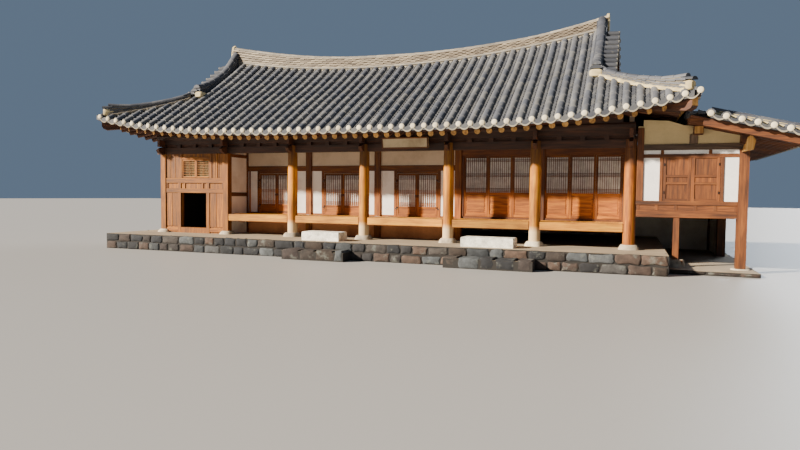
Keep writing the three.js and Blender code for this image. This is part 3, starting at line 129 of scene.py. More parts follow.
# The main ridge, with heights at shares of its length
RIDGE_HALF = 0.17
RIDGE_PAST = 0.02
RIDGE_ROWS = [
    (0, 0.64), (0.1, 0.60), (0.25, 0.535), (0.34, 0.506), (0.455, 0.496),
    (0.58, 0.463), (0.74, 0.44), (0.84, 0.415), (0.95, 0.45), (1, 0.48),
]
RIDGE_SINK = 0.14
RIDGE_COURSES = 5
BAND_HEIGHT = 0.09
BAND_BULGE = 0.045
RIDGE_END = [
    (-0.16, 0.12), (0.16, 0.12), (0.15, 0.40), (0.10, 0.60), (0, 0.66), (-0.10, 0.60), (-0.15, 0.40),
]
RIDGE_END_TALL = 0.62

# Low ridges: half width, courses, gaps under and over them; the top row's radius, sink and squash
FALLING_HALF = 0.15
HIP_RIDGE_HALF = 0.11
FALLING_RIDGE = (FALLING_HALF, 3, 0.0, 0.075), (0.118, 0.095, 0.82)
HIP_RIDGE = (HIP_RIDGE_HALF, 3, 0.03, 0.07), (0.09, 0.078, 0.85)
WING_RIDGE = (0.11, 2, 0.02, 0.07), (0.09, 0.078, 0.85)
FALLING_START = {-1: 2.0, 1: 1.82}
FALLING_STOP = 4.13
FALLING_ROWS = [
    (0, 0.40), (0.28, 0.32), (0.58, 0.26), (0.98, 0.21), (1.48, 0.20), (1.85, 0.27), (2.33, 0.46),
]
HIP_RIDGE_SPAN = (0.22, 1.9)
HIP_RIDGE_ROWS = [(0.22, 0.38), (0.6, 0.27), (1.1, 0.215), (1.5, 0.20), (1.94, 0.22)]
COURSE_TILE = 0.28
COURSE_TILT = 0.010
TILE_EDGE = 0.55
COURSE_STEP = 0.006
COURSE_TAPER = 0.003
RIDGE_SHAKE = 0.004
MORTAR_SHAKE = 0.012
CORE_STEPS = 40

# Verges and gables
VERGE = 0.30
VERGE_PITCH = 0.235
VERGE_START = 2.0
GABLE_THICK = 0.30
GABLE_WALL = 0.07
GABLE_SPAN = (4.135, 1.96)
BARGEBOARD_SPAN = (1.86, 4.14)

# Rafters
RAFTER_RADIUS = 0.075
RAFTER_HANG = 0.03
RAFTER_FANS = 8
RAFTER_PITCH = 0.30
HIP_RAFTER_HALF = 0.10
HIP_RAFTER_ROWS = [(0.10, 0.20), (0.125, 0.255), (TIP_DEPTH, 0.29), (HIP_DEPTH, 0.26)]
EAVE_BOARD_INSET = 0.2
EAVE_BOARD = [(0.13, -0.105), (0.13, -0.19), (0.22, -0.205), (0.22, -0.15)]

# Posts, rails and boards
POST_COVER = 0.099
POST_EDGE = 0.008
THIN_EDGE = 0.001
PAPER_EDGE = 0.0005
RAIL_TALL = 0.12
RAIL_PAST = 0.002
RAIL_INSET = 0.096
BOARD_EDGE = 0.004
PLANK_EDGE = 0.005
PLANK_GAP = 0.002
ROOM_X = -4.585
KITCHEN_FACE = -2.97
RAIL_LEVELS = (0.97, 1.59, 2.45)
BEAM_HEAD = [
    (-0.05, 2.93), (-0.18, 2.95), (-0.30, 3.0), (-0.36, 3.08), (-0.30, 3.10), (-0.2, 3.16), (-0.05, 3.19),
]

# Room doors
DOOR_WIDTH = 1.27
JAMB = 0.085
JAMB_Y = (-1.924, -1.90)
LEAF_Y = (-1.92, -1.884)
LEAF_Z = (1.126, 2.369)
LEAF_GAP = 0.005
LEAF_MEET = 0.009
LEAF_RAIL = 0.06
PANEL_TALL = 0.23
PANEL_RAIL = 0.048
HALL_RAIL = 0.035
STILE = 0.055
HINGE_LEVELS = (1.35, 2.155)
HINGE_TALL = 0.04
HINGE_RADIUS = 0.008
HINGE_Y = -1.93
PLATE_Y = (-1.9275, -1.918)
RING_LEVEL = 1.72
RING_INSET = 0.027
LEAF_BARS = [0.035, 0.075, 0.115, 0.43, 0.47, 0.51, 0.885, 0.925, 0.965]
HALL_BARS = [0.03, 0.07, 0.11, 0.46, 0.5, 0.54, 0.90, 0.94]

# Porch
PORCH_POST_GAP = 0.14
DECK_POST_GAP = 0.06
DECK_BOARD = 0.19

# Masonry
STONE_JITTER = 0.02
STONE_ROUGH = 0.003
STONE_JOINT = 0.009
STONE_STEPS = [(-0.034, 0.0), (-0.012, 0.016), (0, 0.045)]
COURSE_LEVELS = ((0.0, 0.225), (0.232, 0.46))

# Wing roof
WING_EDGE_Z = 3.36
WING_EDGE_X = 9.2675
WING_SLOPE = 0.238
WING_THICK = 0.095
WING_EAVE_X = 10.8125
WING_TOP_X = 8.2675
WING_CORNER_X = 8.6875
WING_HALF = 4.07
WING_SHORT = 3.17
WING_INNER = 3.60

# Each board's grain lies in a cell of its own, so that each board has its own tone.
GRAIN_CELL = 40
GRAIN_CELLS = 8
GRAIN_ASIDE = 20
SMOOTH_ANGLE = math.radians(35)

# Painted shadow of the eave on the front timbers: the slanting line under which they stay lit, and how dark
# the painted shade over it is
EAVE_SHADOW_SLOPE = 0.574
EAVE_SHADOW_LEVEL = 0.74
EAVE_SHADOW_FADE = 0.10
EAVE_SHADOW_TONE = 0.38

# The foot of a column, bleached by rain and sun
FOOT_LEVEL = 0.82
FOOT_FADE = 0.16
FOOT_SHARE = 0.7

# The level over which the wing's plaster is cream
CREAM_LEVEL = 2.95


def clamp(value, low, high):
    return max(low, min(high, value))


def mix(a, b, share):
    return a + (b - a) * share


def sign_of(value):
    return -1 if value < 0 else 1


def circle(count):
    """Cosine and sine of evenly spaced angles round a circle."""
    angles = [2 * math.pi * j / count for j in range(count)]
    return [(math.cos(angle), math.sin(angle)) for angle in angles]


def joined(rings):
    return [p for ring in rings for p in ring]


def moved(points, shift):
    return [tuple(v + s for v, s in zip(p, shift)) for p in points]


def raised(p, z):
    return Vector((p.x, p.y, p.z + z))


class Pile:
    """The points and faces of one piece. Each point also keeps a place along its own board."""

    def __init__(self):
        self.points = []
        self.faces = []
        self.slots = []
        self.grain = []

    def add(self, points, faces, grain=None):
        start = len(self.points)
        self.points.extend(tuple(p) for p in points)
        self.faces.extend([start + i for i in face] for face in faces)
        self.slots.extend([0] * len(faces))
        self.grain.extend(tuple(g) for g in (grain or points))


def make(name, pile, slot, *finishes, body="house", replaces=()):
    """Turns a pile into a piece of the model."""
    mesh = bpy.data.meshes.new(name)
    mesh.from_pydata(pile.points, [], pile.faces)
    mesh.polygons.foreach_set("material_index", pile.slots)
    mesh.polygons.foreach_set("use_smooth", [True] * len(pile.faces))
    mesh.set_sharp_from_angle(angle=SMOOTH_ANGLE)
    grain = mesh.attributes.new("grain", "FLOAT_VECTOR", "POINT")
    grain.data.foreach_set("vector", [value for g in pile.grain for value in g])
    mesh.validate()
    tidy = bmesh.new()
    tidy.from_mesh(mesh)
    bmesh.ops.recalc_face_normals(tidy, faces=tidy.faces)
    tidy.to_mesh(mesh)
    tidy.free()
    piece = bpy.data.objects.new(name, mesh)
    bpy.context.scene.collection.objects.link(piece)
    for finish in finishes:
        mesh.materials.append(MATERIALS[finish])
    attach(piece, body)
    if replaces:
        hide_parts(*replaces)


def loft(pile, rings, closed=True, capped=True, grain=None):
    """Joins rings of equal length into a skin, with end caps."""
    count = len(rings[0])
    faces = []
    for i in range(len(rings) - 1):
        for j in range(count if closed else count - 1):
            k = (j + 1) % count
            faces.append((i * count + j, i * count + k, (i + 1) * count + k, (i + 1) * count + j))
    if capped:
        last = (len(rings) - 1) * count
        faces.append(tuple(range(count - 1, -1, -1)))
        faces.append(tuple(range(last, last + count)))
    pile.add(joined(rings), faces, grain)


def grain_shift():
    return tuple((DICE.randrange(GRAIN_CELLS) + 0.5) * GRAIN_CELL for _ in range(3))


def loft_apart(pile, rings, shift=None):
    """A skin with a tone of its own: one tile, one stone or one timber."""
    loft(pile, rings, grain=moved(joined(rings), shift or grain_shift()))


def board(pile, x0, x1, y0, y1, z0, z1, along, edge=BOARD_EDGE):
    """A squared timber with its edges taken off. along is the axis of its grain."""
    low = (min(x0, x1), min(y0, y1), min(z0, z1))
    high = (max(x0, x1), max(y0, y1), max(z0, z1))
    edge = min(edge, min(b - a for a, b in zip(low, high)) * 0.3)
    points = []
    for corner in range(8):
        for flat in range(3):
            insets = [0 if axis == flat else edge for axis in range(3)]
            ends = [high[i] - insets[i] if corner >> i & 1 else low[i] + insets[i] for i in range(3)]
            points.append(tuple(ends))
    faces = []
    for flat in range(3):
        a, b = (flat + 1) % 3, (flat + 2) % 3
        for level in (0, 1):
            corners = [(level << flat) | (u << a) | (v << b) for u, v in ((0, 0), (1, 0), (1, 1), (0, 1))]
            faces.append([corner * 3 + flat for corner in corners])
    for axis in range(3):
        a, b = (axis + 1) % 3, (axis + 2) % 3
        for near in (0, 1 << b, 1 << a, 1 << a | 1 << b):
            far = near | (1 << axis)
            faces.append([near * 3 + a, near * 3 + b, far * 3 + b, far * 3 + a])
    faces.extend([corner * 3, corner * 3 + 1, corner * 3 + 2] for corner in range(8))
    order = [along] + [i for i in range(3) if i != along]
    pile.add(points, faces, moved([[p[i] for i in order] for p in points], grain_shift()))


def srgb(r, g, b):
    """A colour given in the usual 0 to 255 steps, as the linear values that the nodes take."""
    linear = [((c / 255 + 0.055) / 1.055) ** 2.4 if c > 10 else c / 255 / 12.92 for c in (r, g, b)]
    return (*linear, 1)


class Shades:
    """A material under construction, with short calls for its nodes."""

    def __init__(self, name):
        self.material = bpy.data.materials.new(name)
        self.material.use_nodes = True
        self.tree = self.material.node_tree
        self.shader = self.tree.nodes["Principled BSDF"]

    def node(self, kind, inputs=(), **settings):
        node = self.tree.nodes.new(kind)
        for key, value in settings.items():
            setattr(node, key, value)
        for key, value in dict(inputs).items():
            self.set(node.inputs[key], value)
        return node

    def set(self, socket, value):
        if isinstance(value, bpy.types.NodeSocket):
            self.tree.links.new(value, socket)
        else:
            socket.default_value = value

    def place(self, on_board=True, scale=(1, 1, 1), turn=(0, 0, 0)):
        """Coordinates along the board, or the object's own, stretched by a scale."""
        if on_board:
            source = self.node("ShaderNodeAttribute", attribute_name="grain").outputs["Vector"]
        else:
            source = self.node("ShaderNodeTexCoord").outputs["Object"]
        values = {"Vector": source, "Scale": scale, "Rotation": turn}
        return self.node("ShaderNodeMapping", values).outputs["Vector"]

    def axis(self, vector, name):
        return self.node("ShaderNodeSeparateXYZ", {"Vector": vector}).outputs[name]

    def noise(self, vector, scale, detail, rough, distort=0.0):
        values = {"Vector": vector, "Scale": scale, "Detail": detail, "Roughness": rough}
        return self.node("ShaderNodeTexNoise", {**values, "Distortion": distort}).outputs["Fac"]

    def ramp(self, value, *stops):
        node = self.node("ShaderNodeValToRGB", {"Fac": value})
        elements = node.color_ramp.elements
        while len(elements) < len(stops):
            elements.new(0.5)
        for element, (place, colour) in zip(elements, stops):
            element.position = place
            element.color = colour
        return node.outputs["Color"]

    def grey(self, value, low, high, start=0.0, end=1.0):
        """Maps a value from start..end to low..high."""
        values = {"Value": value, "From Min": start, "From Max": end, "To Min": low, "To Max": high}
        return self.node("ShaderNodeMapRange", values).outputs["Result"]

    def blend(self, share, a, b, kind="MIX"):
        node = self.node("ShaderNodeMix", data_type="RGBA", blend_type=kind)
        for key, value in (("Factor", share), ("A", a), ("B", b)):
            self.set(node.inputs[key], value)
        return node.outputs["Result"]

    def shade(self, tone, value, low, high, start=0.3, end=0.7):
        """A colour made darker and lighter by a value."""
        return self.blend(1.0, tone, self.grey(value, low, high, start, end), "MULTIPLY")

    def maths(self, kind, a, b):
        return self.node("ShaderNodeMath", {0: a, 1: b}, operation=kind).outputs[0]

    def relief(self, coarse, fine, share):
        return self.maths("ADD", coarse, self.maths("MULTIPLY", fine, share))

    def each(self, vector, cell=(GRAIN_CELL,) * 3):
        """A steady random number for each cell of a grid."""
        divided = self.node("ShaderNodeVectorMath", {0: vector, 1: cell}, operation="DIVIDE").outputs[0]
        cell = self.node("ShaderNodeVectorMath", {0: divided}, operation="FLOOR").outputs[0]
        return self.node("ShaderNodeTexWhiteNoise", {"Vector": cell}).outputs["Value"]

    def paint_eave_shadow(self):
        """Painted shade: darker over the slanting line where the eave's shadow falls on the front timbers.
        """
        place = self.place(False)
        level = self.relief(self.axis(place, "Z"), self.axis(place, "Y"), EAVE_SHADOW_SLOPE)
        return self.grey(level, 1, EAVE_SHADOW_TONE, EAVE_SHADOW_LEVEL, EAVE_SHADOW_LEVEL + EAVE_SHADOW_FADE)

    def bleached_foot(self):
        """The share of bleached wood at a height over the ground."""
        level = self.axis(self.place(False), "Z")
        return self.grey(level, FOOT_SHARE, 0, FOOT_LEVEL, FOOT_LEVEL + FOOT_FADE)

    def finish(self, colour, rough, height, strength, distance=0.004):
        self.set(self.shader.inputs["Base Color"], colour)
        self.set(self.shader.inputs["Roughness"], rough)
        bump = self.node("ShaderNodeBump", {"Height": height, "Strength": strength, "Distance": distance})
        self.set(self.shader.inputs["Normal"], bump.outputs["Normal"])
        return self.material


def wood(name, dark, middle, light, foot=None, axis=None, eave_shadow_painted=False):
    """Old timber with streaks and checks along the board, or along an axis of the house."""
    make_up = Shades(name)
    on_board = axis is None

    def drawn(long, thin, turn=(0, 0, 0)):
        return make_up.place(on_board, [long if i == (axis or X) else thin for i in range(3)], turn)

    streak = make_up.noise(drawn(0.9, 11), 1.6, 6, 0.62, 0.4)
    fibre = make_up.noise(drawn(1.6, 60), 1.5, 3, 0.6)
    patch = make_up.noise(make_up.place(on_board), 1.1, 3, 0.5)
    crack = make_up.noise(drawn(0.72, 16.5, (0.01,) * 3), 1.3, 2, 0.5)
    tone = make_up.ramp(streak, (0.28, dark), (0.5, middle), (0.74, light))
    if on_board:
        tone = make_up.shade(tone, make_up.each(make_up.place()), 0.74, 1.16, 0, 1)
    tone = make_up.shade(tone, patch, 0.72, 1.25)
    tone = make_up.shade(tone, fibre, 0.82, 1.12)
    # Paint the eave's shadow into the timber's colour
    if eave_shadow_painted:
        tone = make_up.blend(1.0, tone, make_up.paint_eave_shadow(), "MULTIPLY")
    if foot:
        tone = make_up.blend(make_up.bleached_foot(), tone, foot)
    line = make_up.grey(crack, 0, 1, 0.285, 0.315)
    tone = make_up.blend(make_up.grey(line, 0.75, 0), tone, dark)
    rough = make_up.grey(streak, 0.62, 0.82)
    return make_up.finish(tone, rough, make_up.relief(line, fibre, 0.5), 0.5, 0.003)


def plaster(name, base, stain, on_board=False, level=None):
    """Lime plaster with soft stains and a grainy skin. Over a level it turns to the second colour."""
    make_up = Shades(name)
    place = make_up.place(on_board)
    cloud = make_up.noise(place, 1.7, 5, 0.6)
    fine = make_up.noise(place, 55, 3, 0.6)
    if level:
        over = make_up.grey(make_up.axis(place, "Z"), 0, 1, level - 0.01, level + 0.01)
        tone = make_up.shade(make_up.blend(over, base, stain), cloud, 0.86, 1.04)
    else:
        tone = make_up.ramp(cloud, (0.25, stain), (0.55, base), (0.85, base))
    tone = make_up.shade(tone, fine, 0.93, 1.04)
    return make_up.finish(tone, 0.92, make_up.relief(cloud, fine, 0.3), 0.35)


def packed_earth(name, top, side):
    """A pale trodden top over the dark joints of a stone edge."""
    make_up = Shades(name)
    place = make_up.place(False)
    cloud = make_up.noise(place, 1.3, 6, 0.65)
    fine = make_up.noise(place, 45, 4, 0.7)
    up = make_up.axis(make_up.node("ShaderNodeNewGeometry").outputs["Normal"], "Z")
    tone = make_up.blend(make_up.grey(up, 0, 1, 0.3, 0.7), side, top)
    tone = make_up.shade(tone, cloud, 0.75, 1.15)
    tone = make_up.shade(tone, fine, 0.85, 1.1)
    return make_up.finish(tone, 0.95, make_up.relief(cloud, fine, 0.3), 0.5, 0.01)


def rock(name, *colours):
    """Rough stone: each block its own shade, speckled, with lichen (the last colour)."""
    make_up = Shades(name)
    place = make_up.place()
    *shades, lichen = colours
    tone = make_up.ramp(make_up.each(place), *[((i + 0.5) / len(shades), c) for i, c in enumerate(shades)])
    cloud = make_up.noise(place, 5, 6, 0.65)
    speck = make_up.noise(place, 70, 3, 0.7)
    tone = make_up.shade(tone, cloud, 0.45, 1.45, end=0.72)
    tone = make_up.shade(tone, speck, 0.78, 1.2)
    growth = make_up.noise(place, 3.1, 5, 0.7)
    tone = make_up.blend(make_up.grey(growth, 0, 0.6, 0.56, 0.66), tone, lichen)
    return make_up.finish(tone, 0.9, make_up.relief(cloud, speck, 0.25), 0.7, 0.02)


def roof_tile(name, dark, middle, light, moss, cell=(GRAIN_CELL,) * 3):
    """Fired grey tile: each tile its own grey, clouded, with lichen."""
    make_up = Shades(name)
    place = make_up.place()
    tone = make_up.ramp(make_up.each(place, cell), (0.0, dark), (0.5, middle), (1.0, light))
    cloud = make_up.noise(place, 2.3, 6, 0.65)
    fine = make_up.noise(place, 38, 4, 0.65)
    tone = make_up.shade(tone, cloud, 0.72, 1.25)
    tone = make_up.shade(tone, fine, 0.8, 1.18)
    growth = make_up.noise(place, 9, 5, 0.7)
    tone = make_up.blend(make_up.grey(growth, 0, 0.55, 0.57, 0.68), tone, moss)
    return make_up.finish(tone, make_up.grey(cloud, 0.55, 0.8), fine, 0.35, 0.006)


def paper(name, base, shade):
    """Mulberry paper: cloudy with long fibres."""
    make_up = Shades(name)
    place = make_up.place()
    fibre = make_up.noise(place, 90, 2, 0.5, 1.5)
    tone = make_up.ramp(make_up.noise(place, 6, 4, 0.6), (0.3, shade), (0.6, base))
    return make_up.finish(make_up.shade(tone, fibre, 0.92, 1.05), 0.85, fibre, 0.2, 0.001)


def iron(name, base, rust):
    """Forged iron, dark with a little rust."""
    make_up = Shades(name)
    cloud = make_up.noise(make_up.place(), 40, 4, 0.6)
    make_up.shader.inputs["Metallic"].default_value = 0.7
    tone = make_up.ramp(cloud, (0.45, base), (0.75, rust))
    return make_up.finish(tone, make_up.grey(cloud, 0.45, 0.75), cloud, 0.3, 0.001)


# Colours in the usual 0 to 255 steps. The column's last one is that of its bleached foot.
GOLDEN = (88, 43, 3), (152, 82, 5), (196, 122, 14)
KITCHEN = (74, 36, 1), (132, 75, 1), (176, 111, 8)
COLUMN = (114, 62, 3), (186, 114, 6), (222, 158, 26), (226, 206, 166)
BROWN = (50, 25, 9), (92, 48, 15), (130, 76, 28)
AMBER = (60, 30, 9), (103, 55, 17), (136, 80, 30)
PALE_CREAM = (206, 182, 134)

# Each material: its function, its name, its colours and its settings
FINISHES = [
    # wood and column_wood carry the eave's painted shadow
    (wood, "wood", GOLDEN, {"eave_shadow_painted": True}),
    (wood, "wood_z", GOLDEN, {"axis": Z}),
    (wood, "kitchen_wood", KITCHEN, {}),
    (wood, "kitchen_z", KITCHEN, {"axis": Z}),
    (wood, "column_wood", COLUMN, {"eave_shadow_painted": True}),
    (wood, "dark_wood", BROWN, {}),
    (wood, "wood_x", BROWN, {"axis": X}),
    (wood, "amber", AMBER, {}),
    (wood, "amber_z", AMBER, {"axis": Z}),
    (wood, "grey_wood", ((58, 44, 34), (90, 70, 54), (122, 98, 76)), {}),
    # Painted shade: darker copies of the timber for the beams, rafters, eave boards and roof boarding under
    # the eaves
    (wood, "beam_wood", ((38, 21, 12), (72, 40, 22), (106, 62, 34)), {}),
    (wood, "beam_x", ((32, 18, 11), (58, 33, 20), (86, 52, 32)), {"axis": X}),
    (wood, "boarding", ((40, 24, 16), (70, 44, 30), (98, 66, 44)), {"axis": Y}),
    (wood, "pale_wood", ((136, 80, 8), (192, 126, 14), (220, 162, 38)), {}),
    (wood, "end_wood", ((132, 84, 34), (196, 142, 68), (226, 180, 108)), {}),
    (plaster, "white", ((238, 232, 224), (210, 200, 188)), {}),
    (plaster, "cream", (PALE_CREAM, (178, 154, 108)), {}),
    (plaster, "wing_plaster", ((240, 236, 230), PALE_CREAM), {"level": CREAM_LEVEL}),
    (plaster, "board_face", ((196, 176, 142), (140, 120, 92)), {}),
    # Real soot and painted shade: a near-black lining for the dark inside of the kitchen
    (plaster, "soot", ((46, 40, 36), (24, 21, 19)), {}),
    # Painted light: the earth wall under the porch is made brighter and more orange for the light thrown up
    # from the platform
    (plaster, "earth", ((236, 164, 110), (190, 124, 80)), {}),
    # Painted shade: a darker, browner copy of the white plaster for the head wall in the eave's shadow
    (plaster, "head_plaster", ((206, 186, 160), (178, 158, 132)), {}),
    (plaster, "croft", ((240, 234, 218), (206, 196, 176)), {}),
    (plaster, "lime", ((204, 186, 140), (132, 114, 80)), {"on_board": True}),
    (plaster, "lip", ((150, 143, 126), (112, 106, 94)), {"on_board": True}),
    (plaster, "plug", ((226, 214, 182), (140, 126, 98)), {"on_board": True}),
    (plaster, "dark_mortar", ((116, 108, 94), (70, 64, 56)), {"on_board": True}),
    (paper, "paper", ((214, 212, 206), (180, 178, 174)), {}),
    # Aged paper, also darkened as painted shade for the kitchen window under the eave
    (paper, "old_paper", ((150, 138, 98), (112, 100, 70)), {}),
    (packed_earth, "ground_top", ((150, 134, 110), (40, 37, 34)), {}),
    # Painted shadow: the stones' colours are darkened as if a nearby building's shadow lay over them
    (rock, "stone", (
        (30, 31, 34), (84, 66, 54), (20, 22, 27), (82, 86, 88), (52, 42, 34), (36, 38, 42), (104, 106, 98)
    ), {}),
    (rock, "pale_stone", ((232, 228, 214), (240, 236, 224), (224, 218, 204), (206, 200, 182)), {}),
    (rock, "base_stone", ((186, 172, 148), (168, 154, 134), (204, 192, 168), (150, 142, 122)), {}),
    (roof_tile, "round_tile", ((72, 76, 86), (87, 89, 95), (103, 103, 103), (130, 126, 114)),
     {"cell": (TILE_PITCH, ROUND_LENGTH, 10)}),
    # Painted shade: the flat tiles are a darker copy of the round tiles' grey, standing in for the shadows
    # the rounds cast on them
    (roof_tile, "flat_tile", ((50, 53, 62), (65, 67, 72), (82, 82, 82), (98, 96, 90)),
     {"cell": (TILE_PITCH, FLAT_LENGTH, 10)}),
    (roof_tile, "ridge_tile", ((92, 78, 64), (132, 118, 98), (160, 146, 122), (184, 172, 146)), {}),
    (roof_tile, "hip_tile", ((58, 62, 72), (76, 78, 85), (96, 97, 100), (112, 112, 108)), {}),
    (roof_tile, "band_tile", ((120, 114, 104), (138, 131, 118), (156, 148, 132), (178, 168, 144)), {}),
    # Painted shade: a near-black copy of the tile for the verge tiles and the ridges' end caps
    (roof_tile, "cap_tile", ((36, 40, 50), (48, 52, 60), (62, 64, 70), (96, 94, 88)), {}),
    (iron, "iron", ((38, 36, 36), (86, 54, 38)), {}),
]

# The CAD nodes that stay in view, by their material. The others are golden timber.
NODE_FINISHES = {
    "ground_top": ("stone_platform", "wing_base"),
    "white": (
        "kitchen_side_wall", "room_pier_1", "room_pier_2", "room_pier_3",
        "back_wall", "left_wall", "right_wall", "wing_right_wall", "wing_back_wall",
    ),
    # the head wall's plaster carries painted shade
    "head_plaster": ("room_head_wall",),
    "wing_plaster": ("wing_front_wall",),
    "croft": ("wing_croft_walls",),
    "earth": ("room_sill_wall",),
    "kitchen_z": ("kitchen_wall_left", "kitchen_wall_right", "kitchen_wall_over"),
    # the front beam's timber is darkened as painted shade
    "beam_x": ("front_beam",),
    "amber_z": ("wing_post_front", "wing_floor"),
    "wood_x": ("wing_roof_frame", "porch_floor", "room_floor"),
    "cream": ("name_board",),
}


def dress_nodes():
    finishes = {node: finish for finish, nodes in NODE_FINISHES.items() for node in nodes}
    for name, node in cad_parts.items():
        for place in node.material_slots:
            place.material = MATERIALS[finishes.get(name, "wood_z")]


def slope_half(side, depth):
    run = EAVE_X - GABLE_X[side]
    return EAVE_X - run * min(depth / HIP_DEPTH, 1)


def eave_z(x):
    return EAVE_Z + EAVE_RISE * abs(x / EAVE_X) ** EAVE_POWER


def ridge_foot_z(x):
    side = -1 if x < RIDGE_LOW_X else 1
    share = (x - RIDGE_LOW_X) / (side * GABLE_X[side] - RIDGE_LOW_X)
    return RIDGE_BASE_Z + RIDGE_RISE[side] * max(share, 0) ** RIDGE_POWER


def height_at(rows, depth):
    """The height between the rows of a table of depths and heights."""
    for (d0, h0), (d1, h1) in zip(rows, rows[1:]):
        if depth <= d1:
            return mix(h0, h1, clamp((depth - d0) / (d1 - d0), 0, 1))
    return rows[-1][1]


def drop(depth):
    """How far the roof's underside lies below S."""
    return height_at(UNDERSIDE_ROWS, depth)


def fan_share(value, fan, straight, edge):
    """The share of the eave, 0 to 1, at a distance from its middle."""
    if value <= straight:
        return value / straight * fan
    return fan + (1 - fan) * (value - straight) / max(edge - straight, 0.001)


def front_at(x, depth, end=-1):
    """The point of S on the front (end -1) or back slope, at one x and depth from the eave."""
    edge = slope_half(sign_of(x), depth)
    x = clamp(x, -edge, edge)
    share = fan_share(abs(x), FAN_X / EAVE_X, FAN_X, edge)
    bow = EAVE_BOW * (1 - share**3) * max(0, 1 - depth / HIP_DEPTH)
    inner = clamp(x, -GABLE_X[-1], GABLE_X[1])
    low = eave_z(x)
    climb = mix(depth / ROOF_DEPTH, (depth / ROOF_DEPTH) ** 4, ROOF_CURVE)
    return Vector((x, end * (EAVE_Y - depth - bow), low + (ridge_foot_z(inner) - low) * climb))


def hip_at(side, end, depth):
    return front_at(side * slope_half(side, depth), depth, end)


def side_at(side, y, depth):
    """The point of S on the left (-1) or right slope."""
    hip = hip_at(side, -1, depth)
    y = clamp(y, hip.y, -hip.y)
    share = fan_share(abs(y), FAN_Y / EAVE_Y, FAN_Y, -hip.y)
    lower = 1 - depth / HIP_DEPTH
    bow = EAVE_BOW * (1 - share**3) * lower
    dip = mix(0.1, SIDE_DIP[side], lower) * (1 - share**2.4)
    return Vector((hip.x - side * bow, y, hip.z - dip))


# Each slope: its name, its surface, its reach, the way along its eave and the way out
SLOPES = [
    ("front", lambda s, depth: front_at(s, depth, -1), EAVE_X, X_WAY, -Y_WAY),
    ("back", lambda s, depth: front_at(s, depth, 1), EAVE_X, X_WAY, Y_WAY),
    ("left", lambda s, depth: side_at(-1, s, depth), EAVE_Y, Y_WAY, -X_WAY),
    ("right", lambda s, depth: side_at(1, s, depth), EAVE_Y, Y_WAY, X_WAY),
]


def tile_steps(deepest, length):
    """Depths of the tile courses, each with its height over the course below."""
    rows = []
    for i in range(math.ceil(deepest / length)):
        rows.append((min(i * length + TILE_LAP, deepest), 1))
        rows.append((min((i + 1) * length, deepest), 0))
    return rows


def trough_places(start, pitch, count):
    """Places across a bed of concave tiles, each with its share of the way over its tile."""
    shares = [j / TROUGH_STEPS for j in range(TROUGH_STEPS)]
    places = [(start + (i + share) * pitch, share) for i in range(count) for share in shares]
    return places + [(start + count * pitch, 0)]


def trough(share):
    return TROUGH_LOW + TROUGH_RISE * (2 * share - 1) ** 2


def lay_bed(name, node, rings, under, grain=None):
    """A slope's bed of concave tiles and its underside, as one closed skin."""
    pile = Pile()
    loft(pile, rings + under + [rings[0]], closed=False, capped=False, grain=grain)
    wide = len(rings[0])
    for i in range(len(rings) * (wide - 1), (len(rings) + len(under) - 1) * (wide - 1)):
        pile.slots[i] = 1
    for j, turn in ((0, 1), (wide - 1, -1)):
        pile.faces.append([i * wide + j for i in range(len(rings) + len(under))][::turn])
        pile.slots.append(0)
    make(name, pile, "tile", "flat_tile", "boarding", replaces=[node])


def half_round(centre, radius, across, up, steps=7):
    """A half circle over a tile row, closed by its flat foot."""
    ring = []
    for i in range(steps):
        angle = math.pi * i / (steps - 1)
        ring.append(centre + across * (radius * math.cos(angle)) + up * (radius * math.sin(angle)))
    return ring


def front_depth(x):
    """How far up the slope a row of tiles runs before it meets the hip or the ridge."""
    side = sign_of(x)
    if abs(x) <= GABLE_X[side]:
        return ROOF_DEPTH
    return HIP_DEPTH * (EAVE_X - abs(x)) / (EAVE_X - GABLE_X[side])


def side_depth(y):
    return min(HIP_DEPTH, EAVE_Y - abs(y))


def build_tiles():
    for name, at, reach, along, _ in SLOPES:
        deepest, depth_of = (ROOF_DEPTH, front_depth) if along == X_WAY else (HIP_DEPTH, side_depth)
        across = trough_places(-reach, TILE_PITCH, round(reach * 2 / TILE_PITCH))
        rings = []
        for depth, step in tile_steps(deepest, FLAT_LENGTH):
            rings.append([raised(at(s, depth), trough(share) + FLAT_STEP * step) for s, share in across])
        under = []
        for depth in (deepest, HIP_DEPTH, TIP_DEPTH, 0):
            under.append([raised(at(s, depth), -drop(depth)) for s, _ in across])
        lay_bed(f"bed_{name}", f"roof_{name}", rings, under)
        build_rounds(name, at, reach - EAVE_INSET, along, depth_of)


def build_rounds(name, at, reach, along, depth_of):
    """Rows of overlapping round tiles up one slope."""
    pile = Pile()
    for i in range(round(reach * 2 / TILE_PITCH) + 1):
        s = -reach + i * TILE_PITCH
        if depth_of(s) < SHORTEST_ROW:
            continue
        shift = along * DICE.uniform(-0.006, 0.006)
        rings = []
        for depth, step in tile_steps(depth_of(s), ROUND_LENGTH):
            radius = ROUND_RADIUS - ROUND_TAPER * (1 - step)
            p = raised(at(s, depth if depth > TILE_LAP else 0), ROUND_BASE)
            rings.append(half_round(p + shift, radius, along, UP))
        loft(pile, rings)
    make(f"rounds_{name}", pile, "tile", "round_tile")


def main_ridge_path(share):
    """The foot and top of the main ridge at a share of its length."""
    x = mix(-GABLE_X[-1] - RIDGE_PAST, GABLE_X[1] + RIDGE_PAST, share)
    level = ridge_foot_z(clamp(x, -GABLE_X[-1], GABLE_X[1]))
    return Vector((x, 0, level - RIDGE_SINK)), Vector((x, 0, level + height_at(RIDGE_ROWS, share)))


def falling_path(side, end):
    """The ridge that falls along a gable, from its foot to the main ridge."""

    def path(share):
        p = front_at(falling_x(side), mix(FALLING_START[side], FALLING_STOP, share), end)
        return p, raised(p, height_at(FALLING_ROWS, share * FALLING_ROWS[-1][0]))

    return path


